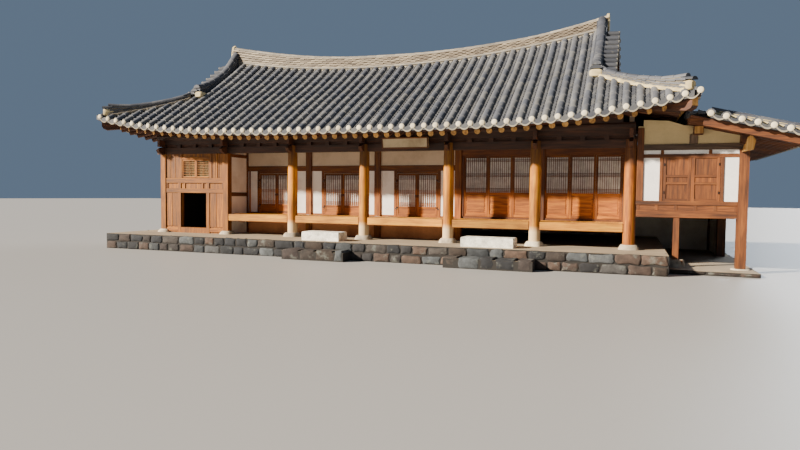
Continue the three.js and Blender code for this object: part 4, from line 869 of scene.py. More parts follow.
def falling_x(side):
    return side * (GABLE_X[side] - FALLING_HALF)


def hip_path(side, end):
    """The ridge that runs on along the hip, from the eave's corner."""

    def path(share):
        depth = mix(*HIP_RIDGE_SPAN, share)
        p = hip_at(side, end, depth)
        return p, raised(p, height_at(HIP_RIDGE_ROWS, depth))

    return path


def hip_across(side, end):
    """The level direction square to a hip."""
    return Vector((HIP_DEPTH, -end * side * (EAVE_X - GABLE_X[side]), 0)).normalized()


def path_count(path, tile):
    """How many tiles of one length a path takes."""
    return max(1, round(sum((path((i + 1) / 20)[0] - path(i / 20)[0]).length for i in range(20)) / tile))


def lay_courses(pile, path, across, half, courses, low, high):
    """Courses of flat tiles, each tile tilted a little under the next. low and high are gaps."""
    count = path_count(path, COURSE_TILE)
    for k in range(courses):
        for i in range(count + k % 2):
            start = clamp((i - 0.5 * (k % 2)) / count, 0, 1)
            stop = clamp(start + 1.02 / count, 0, 1) if i or not k % 2 else 0.5 / count
            wide = half - COURSE_STEP * (k % 2) - COURSE_TAPER * k + DICE.uniform(-RIDGE_SHAKE, RIDGE_SHAKE)
            side = across * wide
            rings = []
            for share, tilt in ((start, -COURSE_TILT), (stop, COURSE_TILT)):
                foot, top = path(share)
                tall = (top - foot).length - low - high
                base = foot + UP * (low + tall * k / courses + tilt)
                crown = base + UP * (tall / courses * TILE_EDGE)
                rings.append([base - side, base + side, crown + side * 0.97, crown - side * 0.97])
            loft_apart(pile, rings)


def lay_round_row(pile, path, across, radius, sink, squash):
    """A row of round tiles along the top of a ridge, each one a little proud of the next."""
    count = path_count(path, ROUND_LENGTH)
    for i in range(count):
        rings = []
        for share, size in ((i / count, radius), ((i + 1) / count, radius - 0.008)):
            rings.append(half_round(path(share)[1] - UP * sink, size, across, UP * squash, 9))
        loft_apart(pile, rings)


def lay_band(pile, path, way, out, low):
    """One smooth course of round tiles laid on their side along a ridge."""
    count = path_count(path, ROUND_LENGTH)
    half = BAND_HEIGHT / 2
    for i in range(count):
        rings = []
        for share, size in ((i / count, BAND_BULGE), ((i + 1) / count, BAND_BULGE - 0.006)):
            centre = path(share)[0] + way * out + UP * (low + half)
            rings.append(half_round(centre, 1, UP * half, way * size))
        loft_apart(pile, rings)


def make_core(name, finish, path, across, *sizes):
    """The mortar that shows between the courses: its half width, and gaps under and over it."""
    pile = Pile()
    for half, low, high in sizes:
        rings = []
        for i in range(1, CORE_STEPS):
            foot, top = path(i / CORE_STEPS)
            side, base, crown = across * half, foot + UP * low, top - UP * high
            rings.append([base - side, base + side, crown + side * 0.9, crown - side * 0.9])
        loft(pile, rings)
    make(name, pile, "tile", finish)


def build_low_ridge(name, path, across, shape, replaces=()):
    courses, top_row = shape
    pile = Pile()
    lay_courses(pile, path, across, *courses)
    lay_round_row(pile, path, across, *top_row)
    make(name, pile, "tile", "hip_tile", replaces=replaces)


def build_main_ridge():
    courses, bands, ends = Pile(), Pile(), Pile()
    low = RIDGE_SINK - 0.04
    path = main_ridge_path
    for sign in (-1, 1):
        for k in range(2):
            lay_band(bands, path, Y_WAY * sign, RIDGE_HALF - 0.035, low + BAND_HEIGHT * k)
    lay_courses(courses, path, Y_WAY, RIDGE_HALF, RIDGE_COURSES, low + 2 * BAND_HEIGHT, 0.075)
    lay_round_row(bands, path, Y_WAY, 0.105, 0.088, 0.85)
    make("ridge_courses", courses, "tile", "ridge_tile", replaces=["main_ridge"])
    make("ridge_bands", bands, "tile", "band_tile")
    make_core("ridge_mortar", "dark_mortar", path, Y_WAY, (RIDGE_HALF - 0.022, 0, 0.08))
    for share, way in ((0, -1), (1, 1)):
        foot, top = path(share)
        tall = (top - foot).length / RIDGE_END_TALL
        rings = []
        for out, size in ((-0.05, 1.0), (0.02, 1.0), (0.035, 0.9)):
            plate = [(way * out, y * size, z * tall * mix(1, size, 0.3)) for y, z in RIDGE_END]
            rings.append([foot + Vector(p) for p in plate])
        loft(ends, rings)
    make("ridge_ends", ends, "tile", "lime")


def build_corner_ridges():
    for side_name, side in SIDES:
        for end_name, end in ENDS:
            label = f"{end_name}_{side_name}"
            path = falling_path(side, end)
            build_low_ridge(f"falling_{label}", path, X_WAY, FALLING_RIDGE, [f"ridge_{label}"])
            core = (FALLING_HALF - 0.03, -0.03, 0.09)
            make_core(f"falling_mortar_{label}", "dark_mortar", path, X_WAY, core)
            path, across = hip_path(side, end), hip_across(side, end)
            build_low_ridge(f"hip_{label}", path, across, HIP_RIDGE)
            core = (HIP_RIDGE_HALF - 0.02, -0.02, 0.08)
            make_core(f"hip_core_{label}", "dark_mortar", path, across, core)
            lay_hip_mortar(f"hip_mortar_{label}", path, across, "lime" if side > 0 else "dark_mortar")


def lay_hip_mortar(name, path, across, finish):
    """Uneven mortar along both feet of a hip ridge."""
    fill = Pile()
    for way in (-1, 1):
        rings = []
        for i in range(61):
            foot, _ = path(i / 60)
            near = foot + across * (way * (HIP_RIDGE_HALF - 0.03))
            reach = HIP_RIDGE_HALF + 0.045 + DICE.uniform(-MORTAR_SHAKE, MORTAR_SHAKE)
            far = foot + across * (way * reach)
            lift = DICE.uniform(-MORTAR_SHAKE, MORTAR_SHAKE)
            outer, inner = raised(far, 0.02 + lift), raised(near, 0.045 + lift)
            rings.append([raised(near, -0.03), raised(far, -0.05), outer, inner])
        loft(fill, rings)
    make(name, fill, "tile", finish)


def build_ridge_ends():
    """Mortar blocks with cap tiles, darkened by painted shade, at the feet of the falling and hip ridges."""
    mortar, caps = Pile(), Pile()
    for _, side in SIDES:
        x, start = falling_x(side), FALLING_START[side]
        wide, tall, inward = (0.135, 0.20, 0.18) if side < 0 else (0.165, 0.21, 0)
        for _, end in ENDS:
            p = front_at(x, start - 0.02, end)
            end_block(mortar, Vector((x + inward, p.y, p.z - 0.03)), Y_WAY * end, X_WAY, wide, tall)
            rings = []
            for reach, lift in ((0.13, 0), (0.02, 0), (-0.25, 0.10)):
                centre = Vector((x, front_at(x, start - reach, end).y, p.z + tall - 0.02 + lift))
                rings.append(half_round(centre, wide - 0.01, X_WAY, UP * 0.62, 9))
            across = hip_across(side, end)
            out = Vector((across.y, -across.x, 0)) * (1 if across.y * side > 0 else -1)
            foot, _ = hip_path(side, end)(0)
            end_block(mortar, foot - UP * 0.02, out, across, 0.10, 0.23)
            hip_rings = []
            for reach, lift in ((0.17, 0.215), (0.03, 0.23), (-0.12, 0.28)):
                hip_rings.append(half_round(foot + out * reach + UP * lift, 0.10, across, UP * 0.7, 9))
            for cap in (rings, hip_rings):
                loft(caps, cap, grain=[(0.1, 0.1, 0)] * len(joined(cap)))
    make("ridge_mortar_blocks", mortar, "tile", "lime")
    make("ridge_cap_tiles", caps, "tile", "cap_tile")


def end_block(pile, foot, out, across, wide, tall):
    """A rounded mortar block that closes a ridge's lower end."""
    rings = []
    for reach, size in ((-0.16, 0.9), (-0.10, 1.0), (0.06, 1.0), (0.115, 0.92), (0.14, 0.7)):
        ring = []
        for c, s in circle(20):
            u = abs(c) ** 0.6 * sign_of(c) * wide * size
            v = (abs(s) ** 0.6 * sign_of(s) * size + 1) * tall / 2
            ring.append(foot + out * reach + across * u + UP * v)
        rings.append(ring)
    loft(pile, rings)


def add_plug(pile, p, along, out, up=UP, size=PLUG_RADIUS):
    """The domed mortar end of one round tile."""
    rings = []
    for reach, share in PLUG_ROWS:
        wide = size * share
        rings.append([p + out * reach + (along * (wide * c) + up * (wide * s)) for c, s in circle(14)])
    loft_apart(pile, rings)


def add_lip(pile, at, a, b, out):
    """The pale lower edge of the concave tiles between two round rows."""
    rings = []
    for share in [j / 8 for j in range(9)]:
        p = at(mix(a + LIP_GAP, b - LIP_GAP, share))
        low = LIP_SAG * (1 - (2 * share - 1) ** 2)
        top, foot = raised(p, -low), raised(p, -LIP_THICK - low)
        rings.append([top - out * 0.04, top + out * 0.012, foot + out * 0.012, foot - out * 0.04])
    loft(pile, rings)


def add_edge(plugs, lips, at, places, along, out, lift=0.0):
    """Plugs in the ends of the round tiles along an edge, and pale crescents between them."""
    for s in places:
        add_plug(plugs, raised(at(s), lift), along, out)
    for a, b in zip(places, places[1:]):
        add_lip(lips, at, a, b, out)


def build_eaves():
    for name, at, reach, along, out in SLOPES:
        plugs, lips, edge = Pile(), Pile(), Pile()
        first = reach - EAVE_INSET
        places = [-first + i * TILE_PITCH for i in range(round(first * 2 / TILE_PITCH) + 1)]
        add_edge(plugs, lips, lambda s: at(s, 0), places, along, out, PLUG_LIFT)
        make(f"eave_plugs_{name}", plugs, "tile", "plug")
        make(f"eave_lips_{name}", lips, "tile", "lip")
        end = reach - EAVE_BOARD_INSET
        stations = [mix(-end, end, i / 80) for i in range(81)]
        rings = [[raised(at(s, depth), z) for depth, z in EAVE_BOARD] for s in stations]
        loft(edge, rings, grain=[(s, depth, z) for s in stations for depth, z in EAVE_BOARD])
        make(f"eave_board_{name}", edge, "timber", "beam_wood")


def rafter_shares(fan, fan_length, limit):
    steps = round(2 * fan_length / RAFTER_PITCH)
    middle = [mix(-fan, fan, i / steps) for i in range(steps + 1)]
    right = [mix(fan, 1, i / (RAFTER_FANS + 0.6)) for i in range(1, RAFTER_FANS + 1)]
    shares = [-u for u in right[::-1]] + middle + right
    return [u for u in shares if abs(u) < limit]


def share_to_place(share, straight, edge, fan):
    if abs(share) <= fan:
        return share / fan * straight
    return sign_of(share) * mix(straight, edge, (abs(share) - fan) / (1 - fan))


def round_bar(pile, a, b, radius):
    """A round timber between two points, with its cut ends in their own material."""
    axis = (b - a).normalized()
    side = axis.cross(UP).normalized()
    up = side.cross(axis)
    rings, grain = [], []
    for end, run in ((a, 0), (b, (b - a).length)):
        spots = [(radius * c, radius * s) for c, s in circle(12)]
        rings.append([end + side * u + up * v for u, v in spots])
        grain.extend((run, u, v) for u, v in spots)
    loft(pile, rings, grain=moved(grain, grain_shift()))
    pile.slots[-2:] = [1, 1]


def build_rafters():
    for name, at, reach, along, out in SLOPES:
        long = along == X_WAY
        straight, limit = (FAN_X, 0.97) if long else (FAN_Y, 0.92)
        pile = Pile()
        for share in rafter_shares(straight / reach, straight, limit):
            ends = []
            for depth, hang in ((TIP_DEPTH, RAFTER_HANG), (HIP_DEPTH, 0.004)):
                side = sign_of(share) if long else sign_of(out.x)
                edge = slope_half(side, depth) if long else -hip_at(side, -1, depth).y
                s = share_to_place(share, straight, edge, straight / reach)
                ends.append(raised(at(s, depth), -drop(depth) - RAFTER_RADIUS - hang))
            round_bar(pile, *ends, RAFTER_RADIUS)
        make(f"rafters_{name}", pile, "timber", "beam_wood", "end_wood", replaces=[f"{name}_rafters"])
    for side_name, side in SIDES:
        for end_name, end in ENDS:
            build_hip_rafter(f"hip_rafter_{end_name}_{side_name}", side, end)


def build_hip_rafter(name, side, end):
    """The deep beam under a hip, with its nose cut back and its pale end grain."""
    half = hip_across(side, end) * HIP_RAFTER_HALF
    pile = Pile()
    rings, grain = [], []
    for depth, tall in HIP_RAFTER_ROWS:
        middle = raised(hip_at(side, end, depth), -drop(depth))
        crown, foot = raised(middle, 0.01), raised(middle, -tall)
        rings.append([crown + half, foot + half, foot - half, crown - half])
        grain.extend((depth * 1.4, y, z) for y, z in ((0.1, 0.2), (0.1, 0), (-0.1, 0), (-0.1, 0.2)))
    loft(pile, rings, grain=moved(grain, grain_shift()))
    pile.slots[-2] = 1
    make(name, pile, "timber", "beam_wood", "end_wood")


def build_verges():
    """Short tiles laid across the slope's edge over each gable, on their own bed."""
    for name, side in SIDES:
        rounds, plugs, bed = Pile(), Pile(), Pile()
        out = X_WAY * side
        x0, x1 = side * (GABLE_X[side] - 0.02), side * (GABLE_X[side] + VERGE + 0.035)
        size, lift = (0.055, 0.0) if side < 0 else (0.072, 0.02)
        for _, end in ENDS:
            for depth in [VERGE_START + VERGE_PITCH * i for i in range(9)]:
                p, q = (front_at(side * GABLE_X[side], d, end) for d in (depth, depth + 0.1))
                slope = (q - p).normalized()
                rise = slope.cross(out) * sign_of(slope.cross(out).z)
                inner, outer = Vector((x0, p.y, p.z + 0.03 + lift)), Vector((x1, p.y, p.z + 0.015 + lift))
                loft_apart(rounds, [half_round(c, size, slope, rise) for c in (inner, outer)])
                add_plug(plugs, outer + rise * 0.01, slope, out, rise, size - 0.01)
            rings = []
            for i in range(9 * TROUGH_STEPS + 2):
                depth = 1.9 + (i - 0.5) * VERGE_PITCH / TROUGH_STEPS
                bow = 0.012 + 0.03 * (2 * (((depth - VERGE_START) / VERGE_PITCH) % 1) - 1) ** 2
                p = front_at(side * GABLE_X[side], min(depth, 4.12), end)
                section = ((x0, bow + 0.012), (x1, bow), (x1, -0.08), (x0, -0.08))
                rings.append([Vector((x, p.y, p.z + z)) for x, z in section])
            loft(bed, rings)
        make(f"verge_tiles_{name}", rounds, "tile", "cap_tile")
        make(f"verge_bed_{name}", bed, "tile", "flat_tile")
        make(f"verge_plugs_{name}", plugs, "tile", "lip")
        build_bargeboards(name, side)


def build_bargeboards(name, side):
    """Wide boards under the verge."""
    pile = Pile()
    face = side * (GABLE_X[side] + GABLE_THICK)
    inner, outer = face - side * 0.02, face + side * 0.03
    for _, end in ENDS:
        rings, grain = [], []
        for i in range(24):
            depth = mix(*BARGEBOARD_SPAN, i / 23)
            p = front_at(side * GABLE_X[side], depth, end)
            section = ((inner, -0.07), (outer, -0.07), (outer, -0.29), (inner, -0.29))
            rings.append([Vector((x, p.y if i < 23 else 0.0, p.z + z)) for x, z in section])
            grain.extend((depth * 1.15, x, z) for x, z in section)
        loft(pile, rings, grain=moved(grain, grain_shift()))
    make(f"bargeboards_{name}", pile, "timber", "beam_wood")


def build_gables():
    """The plastered gable walls, the boards under their verges and the timbers on them."""
    for name, side in SIDES:
        plastered, boards = Pile(), Pile()
        x0 = side * GABLE_X[side]
        wall_face, inner, outer = x0 + side * GABLE_WALL, x0 + side * 0.01, x0 + side * GABLE_THICK
        wall, verge = [], []
        for i in range(-20, 21):
            p = front_at(x0, mix(*GABLE_SPAN, abs(i) / 20), sign_of(i))
            y, top = p.y if i else 0.0, p.z - 0.03
            foot = min(side_at(side, clamp(y, -2.4, 2.4), HIP_DEPTH).z - 0.02, top - 0.01)
            wall.append([(x0, y, top), (wall_face, y, top), (wall_face, y, foot), (x0, y, foot)])
            verge.append([(inner, y, top), (outer, y, top), (outer, y, top - 0.22), (inner, y, top - 0.22)])
        loft(plastered, wall)
        make(f"gable_wall_{name}", plastered, "plaster", "white", replaces=[f"gable_{name}"])
        loft(boards, verge, grain=[(y, x, z) for x, y, z in joined(verge)])
        face = wall_face - side * 0.01
        low = side_at(side, 0, HIP_DEPTH).z
        board(boards, face, face + side * 0.035, -0.07, 0.07, low, ridge_foot_z(x0) - 0.2, Z)
        board(boards, face, face + side * 0.03, -1.5, 1.5, low + 0.16, low + 0.28, Y)
        make(f"gable_timbers_{name}", boards, "timber", "dark_wood")


def post_boards(pile, x, y, z0, z1, half=POST_COVER):
    board(pile, x - half, x + half, y - half, y + half, z0, z1, Z, POST_EDGE)


def planks(pile, x0, x1, y0, y1, z0, z1, width):
    """Upright planks side by side along X."""
    count = max(1, round((x1 - x0) / width))
    for i in range(count):
        a, b = mix(x0, x1, i / count), mix(x0, x1, (i + 1) / count)
        push = DICE.uniform(0, 0.004)
        board(pile, a + PLANK_GAP, b - PLANK_GAP, y0 - push, y1, z0, z1, Z, PLANK_EDGE)


def build_kitchen():
    """Posts, rails, planks and the window's frame on the kitchen's front wall."""
    pile = Pile()
    left, right = -6.9775, -4.7775
    door_x0, door_x1 = -6.3925, -5.4125
    window_x0, window_x1 = -6.3425, -5.2825
    rail_z, upper_z, lower_z = (1.73, 1.87), (2.04, 2.20), (0.66, 1.73)
    window_z = (upper_z[1], BEAM_BOTTOM)
    back, proud = KITCHEN_FACE + 0.01, KITCHEN_FACE - 0.03
    flush = (KITCHEN_FACE - 0.012, back)
    for x in GRID_X[:2]:
        post_boards(pile, x, FRONT_Y, 0.55, BEAM_BOTTOM)
    for levels in (upper_z, rail_z):
        board(pile, left, right, proud, back, *levels, X)
    for x in (left + 0.72, left + 1.42, left + 0.03, right - 0.03):
        board(pile, x - 0.03, x + 0.03, proud + 0.006, back, rail_z[1], upper_z[0], Z)
    planks(pile, left, door_x0 - 0.12, *flush, *lower_z, 0.2)
    planks(pile, door_x1 + 0.12, right, *flush, *lower_z, 0.24)
    for x in (door_x0 - 0.12, door_x1):
        board(pile, x, x + 0.12, proud, back, PLATFORM_TOP, rail_z[0], Z)
    board(pile, left, right, proud + 0.006, back, 0.50, 0.625, X)
    for x in (window_x0 - 0.04, window_x1 + 0.04):
        board(pile, x - 0.04, x + 0.04, proud, back, *window_z, Z)
    board(pile, window_x0, window_x1, proud, back, 2.78, 2.86, X)
    planks(pile, left, window_x0 - 0.08, KITCHEN_FACE - 0.010, back, *window_z, 0.22)
    planks(pile, window_x1 + 0.08, right, KITCHEN_FACE - 0.010, back, *window_z, 0.16)
    board(pile, right - 0.27, right - 0.21, proud, back, *window_z, Z)
    make("kitchen_boards", pile, "timber", "kitchen_wood")
    build_kitchen_window(window_x0, window_x1)
    # A dark lining inside the kitchen: soot, and painted shade for its dark interior
    lining = Pile()
    for x0, x1, y0, y1, along in (
        (-6.972, -6.966, -2.82, 2.82, Y), (-6.97, -4.79, 2.812, 2.818, X), (-4.792, -4.786, -2.82, 2.82, Y)
    ):
        board(lining, x0, x1, y0, y1, 0.47, 2.95, along, THIN_EDGE)
    make("kitchen_soot_and_shade", lining, "plaster", "soot")
    side = Pile()
    for z0, z1 in ((1.64, 1.76), (2.86, 2.96)):
        board(side, GRID_X[1] + 0.04, GRID_X[1] + 0.07, -2.82, -1.96, z0, z1, Y)
    post_boards(side, GRID_X[1], WALL_Y, PLATFORM_TOP, BEAM_TOP)
    make("kitchen_side_rails", side, "timber", "dark_wood")


def build_kitchen_window(x0, x1):
    """Two sashes with level bars, over aged paper that is also darkened as painted shade."""
    sash, sheet = Pile(), Pile()
    middle = (x0 + x1) / 2
    y0, y1, z0, z1 = -2.985, -2.945, 2.212, 2.778
    frame_wide = 0.045
    for a, b in ((x0 + 0.003, middle - 0.001), (middle + 0.001, x1 - 0.003)):
        for x in (a, b - frame_wide):
            board(sash, x, x + frame_wide, y0, y1, z0, z1, Z)
        for z in (z0, z1 - frame_wide):
            board(sash, a + frame_wide, b - frame_wide, y0, y1, z, z + frame_wide, X)
        for k in range(1, 9):
            z = mix(z0 + frame_wide, z1 - frame_wide, k / 9)
            board(sash, a + 0.04, b - 0.04, y0 + 0.012, y1 - 0.006, z - 0.009, z + 0.009, X)
        x = (a + b) / 2
        board(sash, x - 0.008, x + 0.008, y0 + 0.016, y1 - 0.01, z0 + 0.04, z1 - 0.04, Z)
    make("kitchen_sashes", sash, "timber", "kitchen_wood")
    board(sheet, x0 + 0.01, x1 - 0.01, -2.93, -2.915, z0, z1, X)
    make("kitchen_window_paper", sheet, "plaster", "old_paper", replaces=["kitchen_window"])


def from_jamb(bay, side, way):
    """The x at a distance into a doorway from its left (-1) or right jamb."""
    return (GRID_X[bay] + GRID_X[bay + 1]) / 2 + side * (DOOR_WIDTH / 2 - way)


def build_room_wall():
    """Posts, rails and door frames on the wall of the rooms."""
    frames, sill = Pile(), Pile()
    posts = GRID_X[2:5]
    for x in posts:
        post_boards(frames, x, WALL_Y, PLATFORM_TOP if x > 2 else FLOOR_TOP, BLOCK_TOP)
    rails = ((0.071, DOOR_TOP, 2.61), (0.071, 3.03, 3.21), (0.055, FLOOR_TOP, FLOOR_TOP + 0.05))
    for a, b in zip([ROOM_X] + [x + POST_COVER for x in posts], [x - POST_COVER for x in posts]):
        for out, z0, z1 in rails:
            board(frames, a, b, WALL_Y - out, WALL_Y - 0.04, z0, z1, X)
    for bay in (1, 2, 3):
        left, right = from_jamb(bay, -1, 0), from_jamb(bay, 1, 0)
        for a, b in ((left - JAMB - 0.002, left), (right, right + JAMB + 0.002)):
            board(frames, a, b, *JAMB_Y, FLOOR_TOP, DOOR_TOP, Z)
        for z0, z1 in ((DOOR_TOP - 0.072, DOOR_TOP), (FLOOR_TOP, FLOOR_TOP + 0.028)):
            board(frames, left, right, *JAMB_Y, z0, z1, X)
    board(frames, -4.56, -4.50, WALL_Y - 0.06, WALL_Y - 0.045, FLOOR_TOP, DOOR_TOP, Z)
    make("room_frames", frames, "timber", "wood")
    for x in posts[:2]:
        post_boards(sill, x, WALL_Y, PLATFORM_TOP, FLOOR_TOP - 0.07)
    make("sill_posts", sill, "timber", "wood")


def lattice(pile, x0, x1, z0, z1, y0, y1, uprights, groups, bar=0.011):
    """Thin bars that cross: uprights all the way, and groups of level bars."""
    for k in range(1, uprights + 1):
        x = mix(x0, x1, k / (uprights + 1))
        board(pile, x - bar / 2, x + bar / 2, y0, y1, z0, z1, Z, THIN_EDGE)
    for share in groups:
        z = mix(z0, z1, share)
        board(pile, x0, x1, y0 + 0.003, y1 - 0.001, z - bar / 2, z + bar / 2, X, THIN_EDGE)


def build_leaf(bay, name, side):
    """One room door: its frame and lattice, its paper, and its hinges and ring."""
    label, body = f"{bay}_{name}", f"leaf_{bay}_{name}"
    pile, sheet, metal = Pile(), Pile(), Pile()
    width = (DOOR_WIDTH - 2 * LEAF_GAP - LEAF_MEET) / 2
    x0 = from_jamb(bay, side, LEAF_GAP) - (width if side > 0 else 0)
    x1 = x0 + width
    inner0, inner1 = x0 + STILE, x1 - STILE
    (y0, y1), (z0, z1) = LEAF_Y, LEAF_Z
    panel_top = z0 + PANEL_TALL
    bottom, top = panel_top + PANEL_RAIL, z1 - LEAF_RAIL
    for x in (x0, inner1):
        board(pile, x, x + STILE, y0, y1, z0, z1, Z)
    for a, b in ((z0, z0 + LEAF_RAIL), (top, z1), (panel_top, bottom)):
        board(pile, inner0, inner1, y0, y1, a, b, X)
    board(pile, x0 + 0.05, x1 - 0.05, y0 + 0.012, y0 + 0.026, z0 + 0.055, panel_top + 0.005, X)
    lattice(pile, inner0, inner1, bottom, top, y0 + 0.004, y0 + 0.022, 7, LEAF_BARS)
    make(f"leaf_frame_{label}", pile, "timber", "wood", body=body)
    span = (x0 + 0.05, x1 - 0.05, y1 - 0.014, y1 - 0.011)
    board(sheet, *span, bottom - 0.01, top + 0.01, Z, PAPER_EDGE)
    make(f"leaf_paper_{label}", sheet, "plaster", "paper", body=body, replaces=[f"door_{label}"])
    for z in HINGE_LEVELS:
        add_hinge(metal, from_jamb(bay, side, LEAF_GAP / 2), -side, z, z + HINGE_TALL)
    add_pull_ring(metal, x1 - RING_INSET if side < 0 else x0 + RING_INSET, y0, RING_LEVEL)
    make(f"leaf_iron_{label}", metal, "timber", "iron", body=body)


def add_hinge(pile, x, toward, z0, z1):
    """A barrel with a plate on one side of it."""
    barrel = [(x + HINGE_RADIUS * c, HINGE_Y + HINGE_RADIUS * s) for c, s in circle(12)]
    loft(pile, [[(u, v, z) for u, v in barrel] for z in (z0, z1)])
    board(pile, x + toward * 0.003, x + toward * 0.05, *PLATE_Y, z0 + 0.001, z1, X, THIN_EDGE)


def add_pull_ring(pile, x, y, z, radius=0.026, wire=0.004):
    """A small round plate with a ring that hangs from it."""
    rings = []
    for depth, size in ((0.001, 0.024), (-0.004, 0.024), (-0.006, 0.02)):
        rings.append([(x + size * c, y + depth, z + size * s) for c, s in circle(16)])
    loft(pile, rings)
    loops = []
    for c, s in circle(16):
        out = Vector((s, 0, c))
        middle = Vector((x, y - 0.011, z - radius)) + out * radius
        loops.append([middle + out * (wire * u) + Y_WAY * (wire * v) for u, v in circle(6)])
    loft(pile, loops + [loops[0]], capped=False)


def build_doors():
    jambs = Pile()
    for bay in (1, 2, 3):
        for name, side in SIDES:
            build_leaf(bay, name, side)
            for z in HINGE_LEVELS:
                add_hinge(jambs, from_jamb(bay, side, LEAF_GAP / 2), side, z - HINGE_TALL, z - 0.0005)
    make("jamb_irons", jambs, "timber", "iron")


def build_hall():
    """The frame of the hall's front and its six fixed leaves."""
    pile = Pile()
    x0, x1, middle = 2.553, 7.0072, GRID_X[5]
    sill, head = FLOOR_TOP + 0.06, HALL_TOP + 0.18
    face, back = WALL_Y - 0.063, WALL_Y - 0.045
    board(pile, x0, x0 + 0.07, face, back, FLOOR_TOP, HALL_TOP, Z)
    board(pile, x1 - 0.13, x1, WALL_Y - 0.078, back, FLOOR_TOP, HALL_TOP, Z)
    post_boards(pile, middle, WALL_Y, FLOOR_TOP, BEAM_TOP)
    for a, b in ((x0, middle - POST_COVER), (middle + POST_COVER, x1)):
        board(pile, a, b, face, back, HALL_TOP, head, X)
        board(pile, a, b, face, back, FLOOR_TOP, sill, X)
        board(pile, a, b, WALL_Y - 0.054, back, head, BEARER_TOP, X)
    make("hall_frame_boards", pile, "timber", "dark_wood")
    for name, a, b in (("left", x0 + 0.07, middle - 0.095), ("right", middle + 0.095, x1 - 0.13)):
        leaves, panels, sheet = Pile(), Pile(), Pile()
        for i in range(3):
            left, right = mix(a, b, i / 3) + 0.002, mix(a, b, (i + 1) / 3) - 0.002
            add_hall_leaf(leaves, panels, sheet, left, right, sill + 0.004, HALL_TOP - 0.004)
        make(f"hall_leaves_{name}", leaves, "timber", "wood")
        make(f"hall_panels_{name}", panels, "timber", "wood")
        make(f"hall_paper_{name}", sheet, "plaster", "paper", replaces=[f"hall_doors_{name}"])


def add_hall_leaf(leaves, panels, sheet, left, right, z0, z1, rail=1.805):
    """A leaf with a raised panel under its rail and a papered lattice over it."""
    y0, y1 = WALL_Y - 0.038, WALL_Y + 0.002
    inner0, inner1 = left + STILE, right - STILE
    foot, low, high, head = z0 + 0.08, rail - HALL_RAIL, rail + HALL_RAIL, z1 - STILE
    for x in (left, inner1):
        board(leaves, x, x + STILE, y0, y1, z0, z1, Z)
    for a, b in ((z0, foot), (head, z1), (low, high)):
        board(leaves, inner0, inner1, y0, y1, a, b, X)
    lattice(leaves, inner0, inner1, high, head, y0 + 0.006, y0 + 0.024, 9, HALL_BARS, 0.012)
    for inset, near, far, edge in ((0, 0.016, 0.03, 0.002), (0.04, 0.008, 0.02, 0.006)):
        span = (inner0 + inset, inner1 - inset, y0 + near, y0 + far)
        board(panels, *span, foot + inset, low - inset, X, edge)
    span = (inner0 - 0.005, inner1 + 0.005, y1 - 0.012, y1 - 0.008)
    board(sheet, *span, rail, z1 - 0.05, Z, PAPER_EDGE)


def build_columns():
    """Round columns with a slight swell, and the stones under them and the kitchen's posts."""
    for i in range(2, 7):
        pile = Pile()
        rings, grain = [], []
        for share in [k / 10 for k in range(11)]:
            z = mix(STONE_TOP, BEAM_TOP, share)
            radius = 0.145 - 0.008 * share + 0.004 * math.sin(math.pi * share)
            spots = [(radius * c, radius * s) for c, s in circle(32)]
            rings.append([(GRID_X[i] + u, FRONT_Y + v, z) for u, v in spots])
            grain.extend((z, u, v) for u, v in spots)
        loft(pile, rings, grain=moved(grain, grain_shift()))
        finish = "column_wood" if i < 6 else "wood"
        make(f"column_{i}", pile, "timber", finish, replaces=[f"front_column_{i}"])
    stones = Pile()
    for x in GRID_X[2:]:
        rough_block(stones, x, FRONT_Y, PLATFORM_TOP - 0.02, STONE_TOP, 0.25, 0.19)
    for x in GRID_X[:2]:
        rough_block(stones, x, FRONT_Y, PLATFORM_TOP - 0.02, STONE_TOP - 0.02, 0.24, 0.16)
    make("base_stones", stones, "pale_stone", "base_stone")


def rough_block(pile, x, y, z0, z1, foot, head):
    """A base stone: a low drum with uneven sides and a flat top."""
    shift = grain_shift()
    waves = [(DICE.uniform(0, 6.3), DICE.uniform(0.01, 0.035)) for _ in range(4)]
    rings = []
    for share, radius in ((0, foot), (0.55, mix(foot, head, 0.4)), (0.9, head + 0.008), (1, head - 0.01)):
        ring = []
        for angle in [2 * math.pi * j / 20 for j in range(20)]:
            squared = 1 + 0.10 * abs(math.sin(2 * angle)) ** 1.5
            wobble = sum(size * math.sin((k + 2) * angle + phase) for k, (phase, size) in enumerate(waves))
            reach = radius * squared * (1 + wobble)
            ring.append((x + reach * math.cos(angle), y + reach * math.sin(angle), mix(z0, z1, share)))
        rings.append(ring)
    loft_apart(pile, rings, shift)


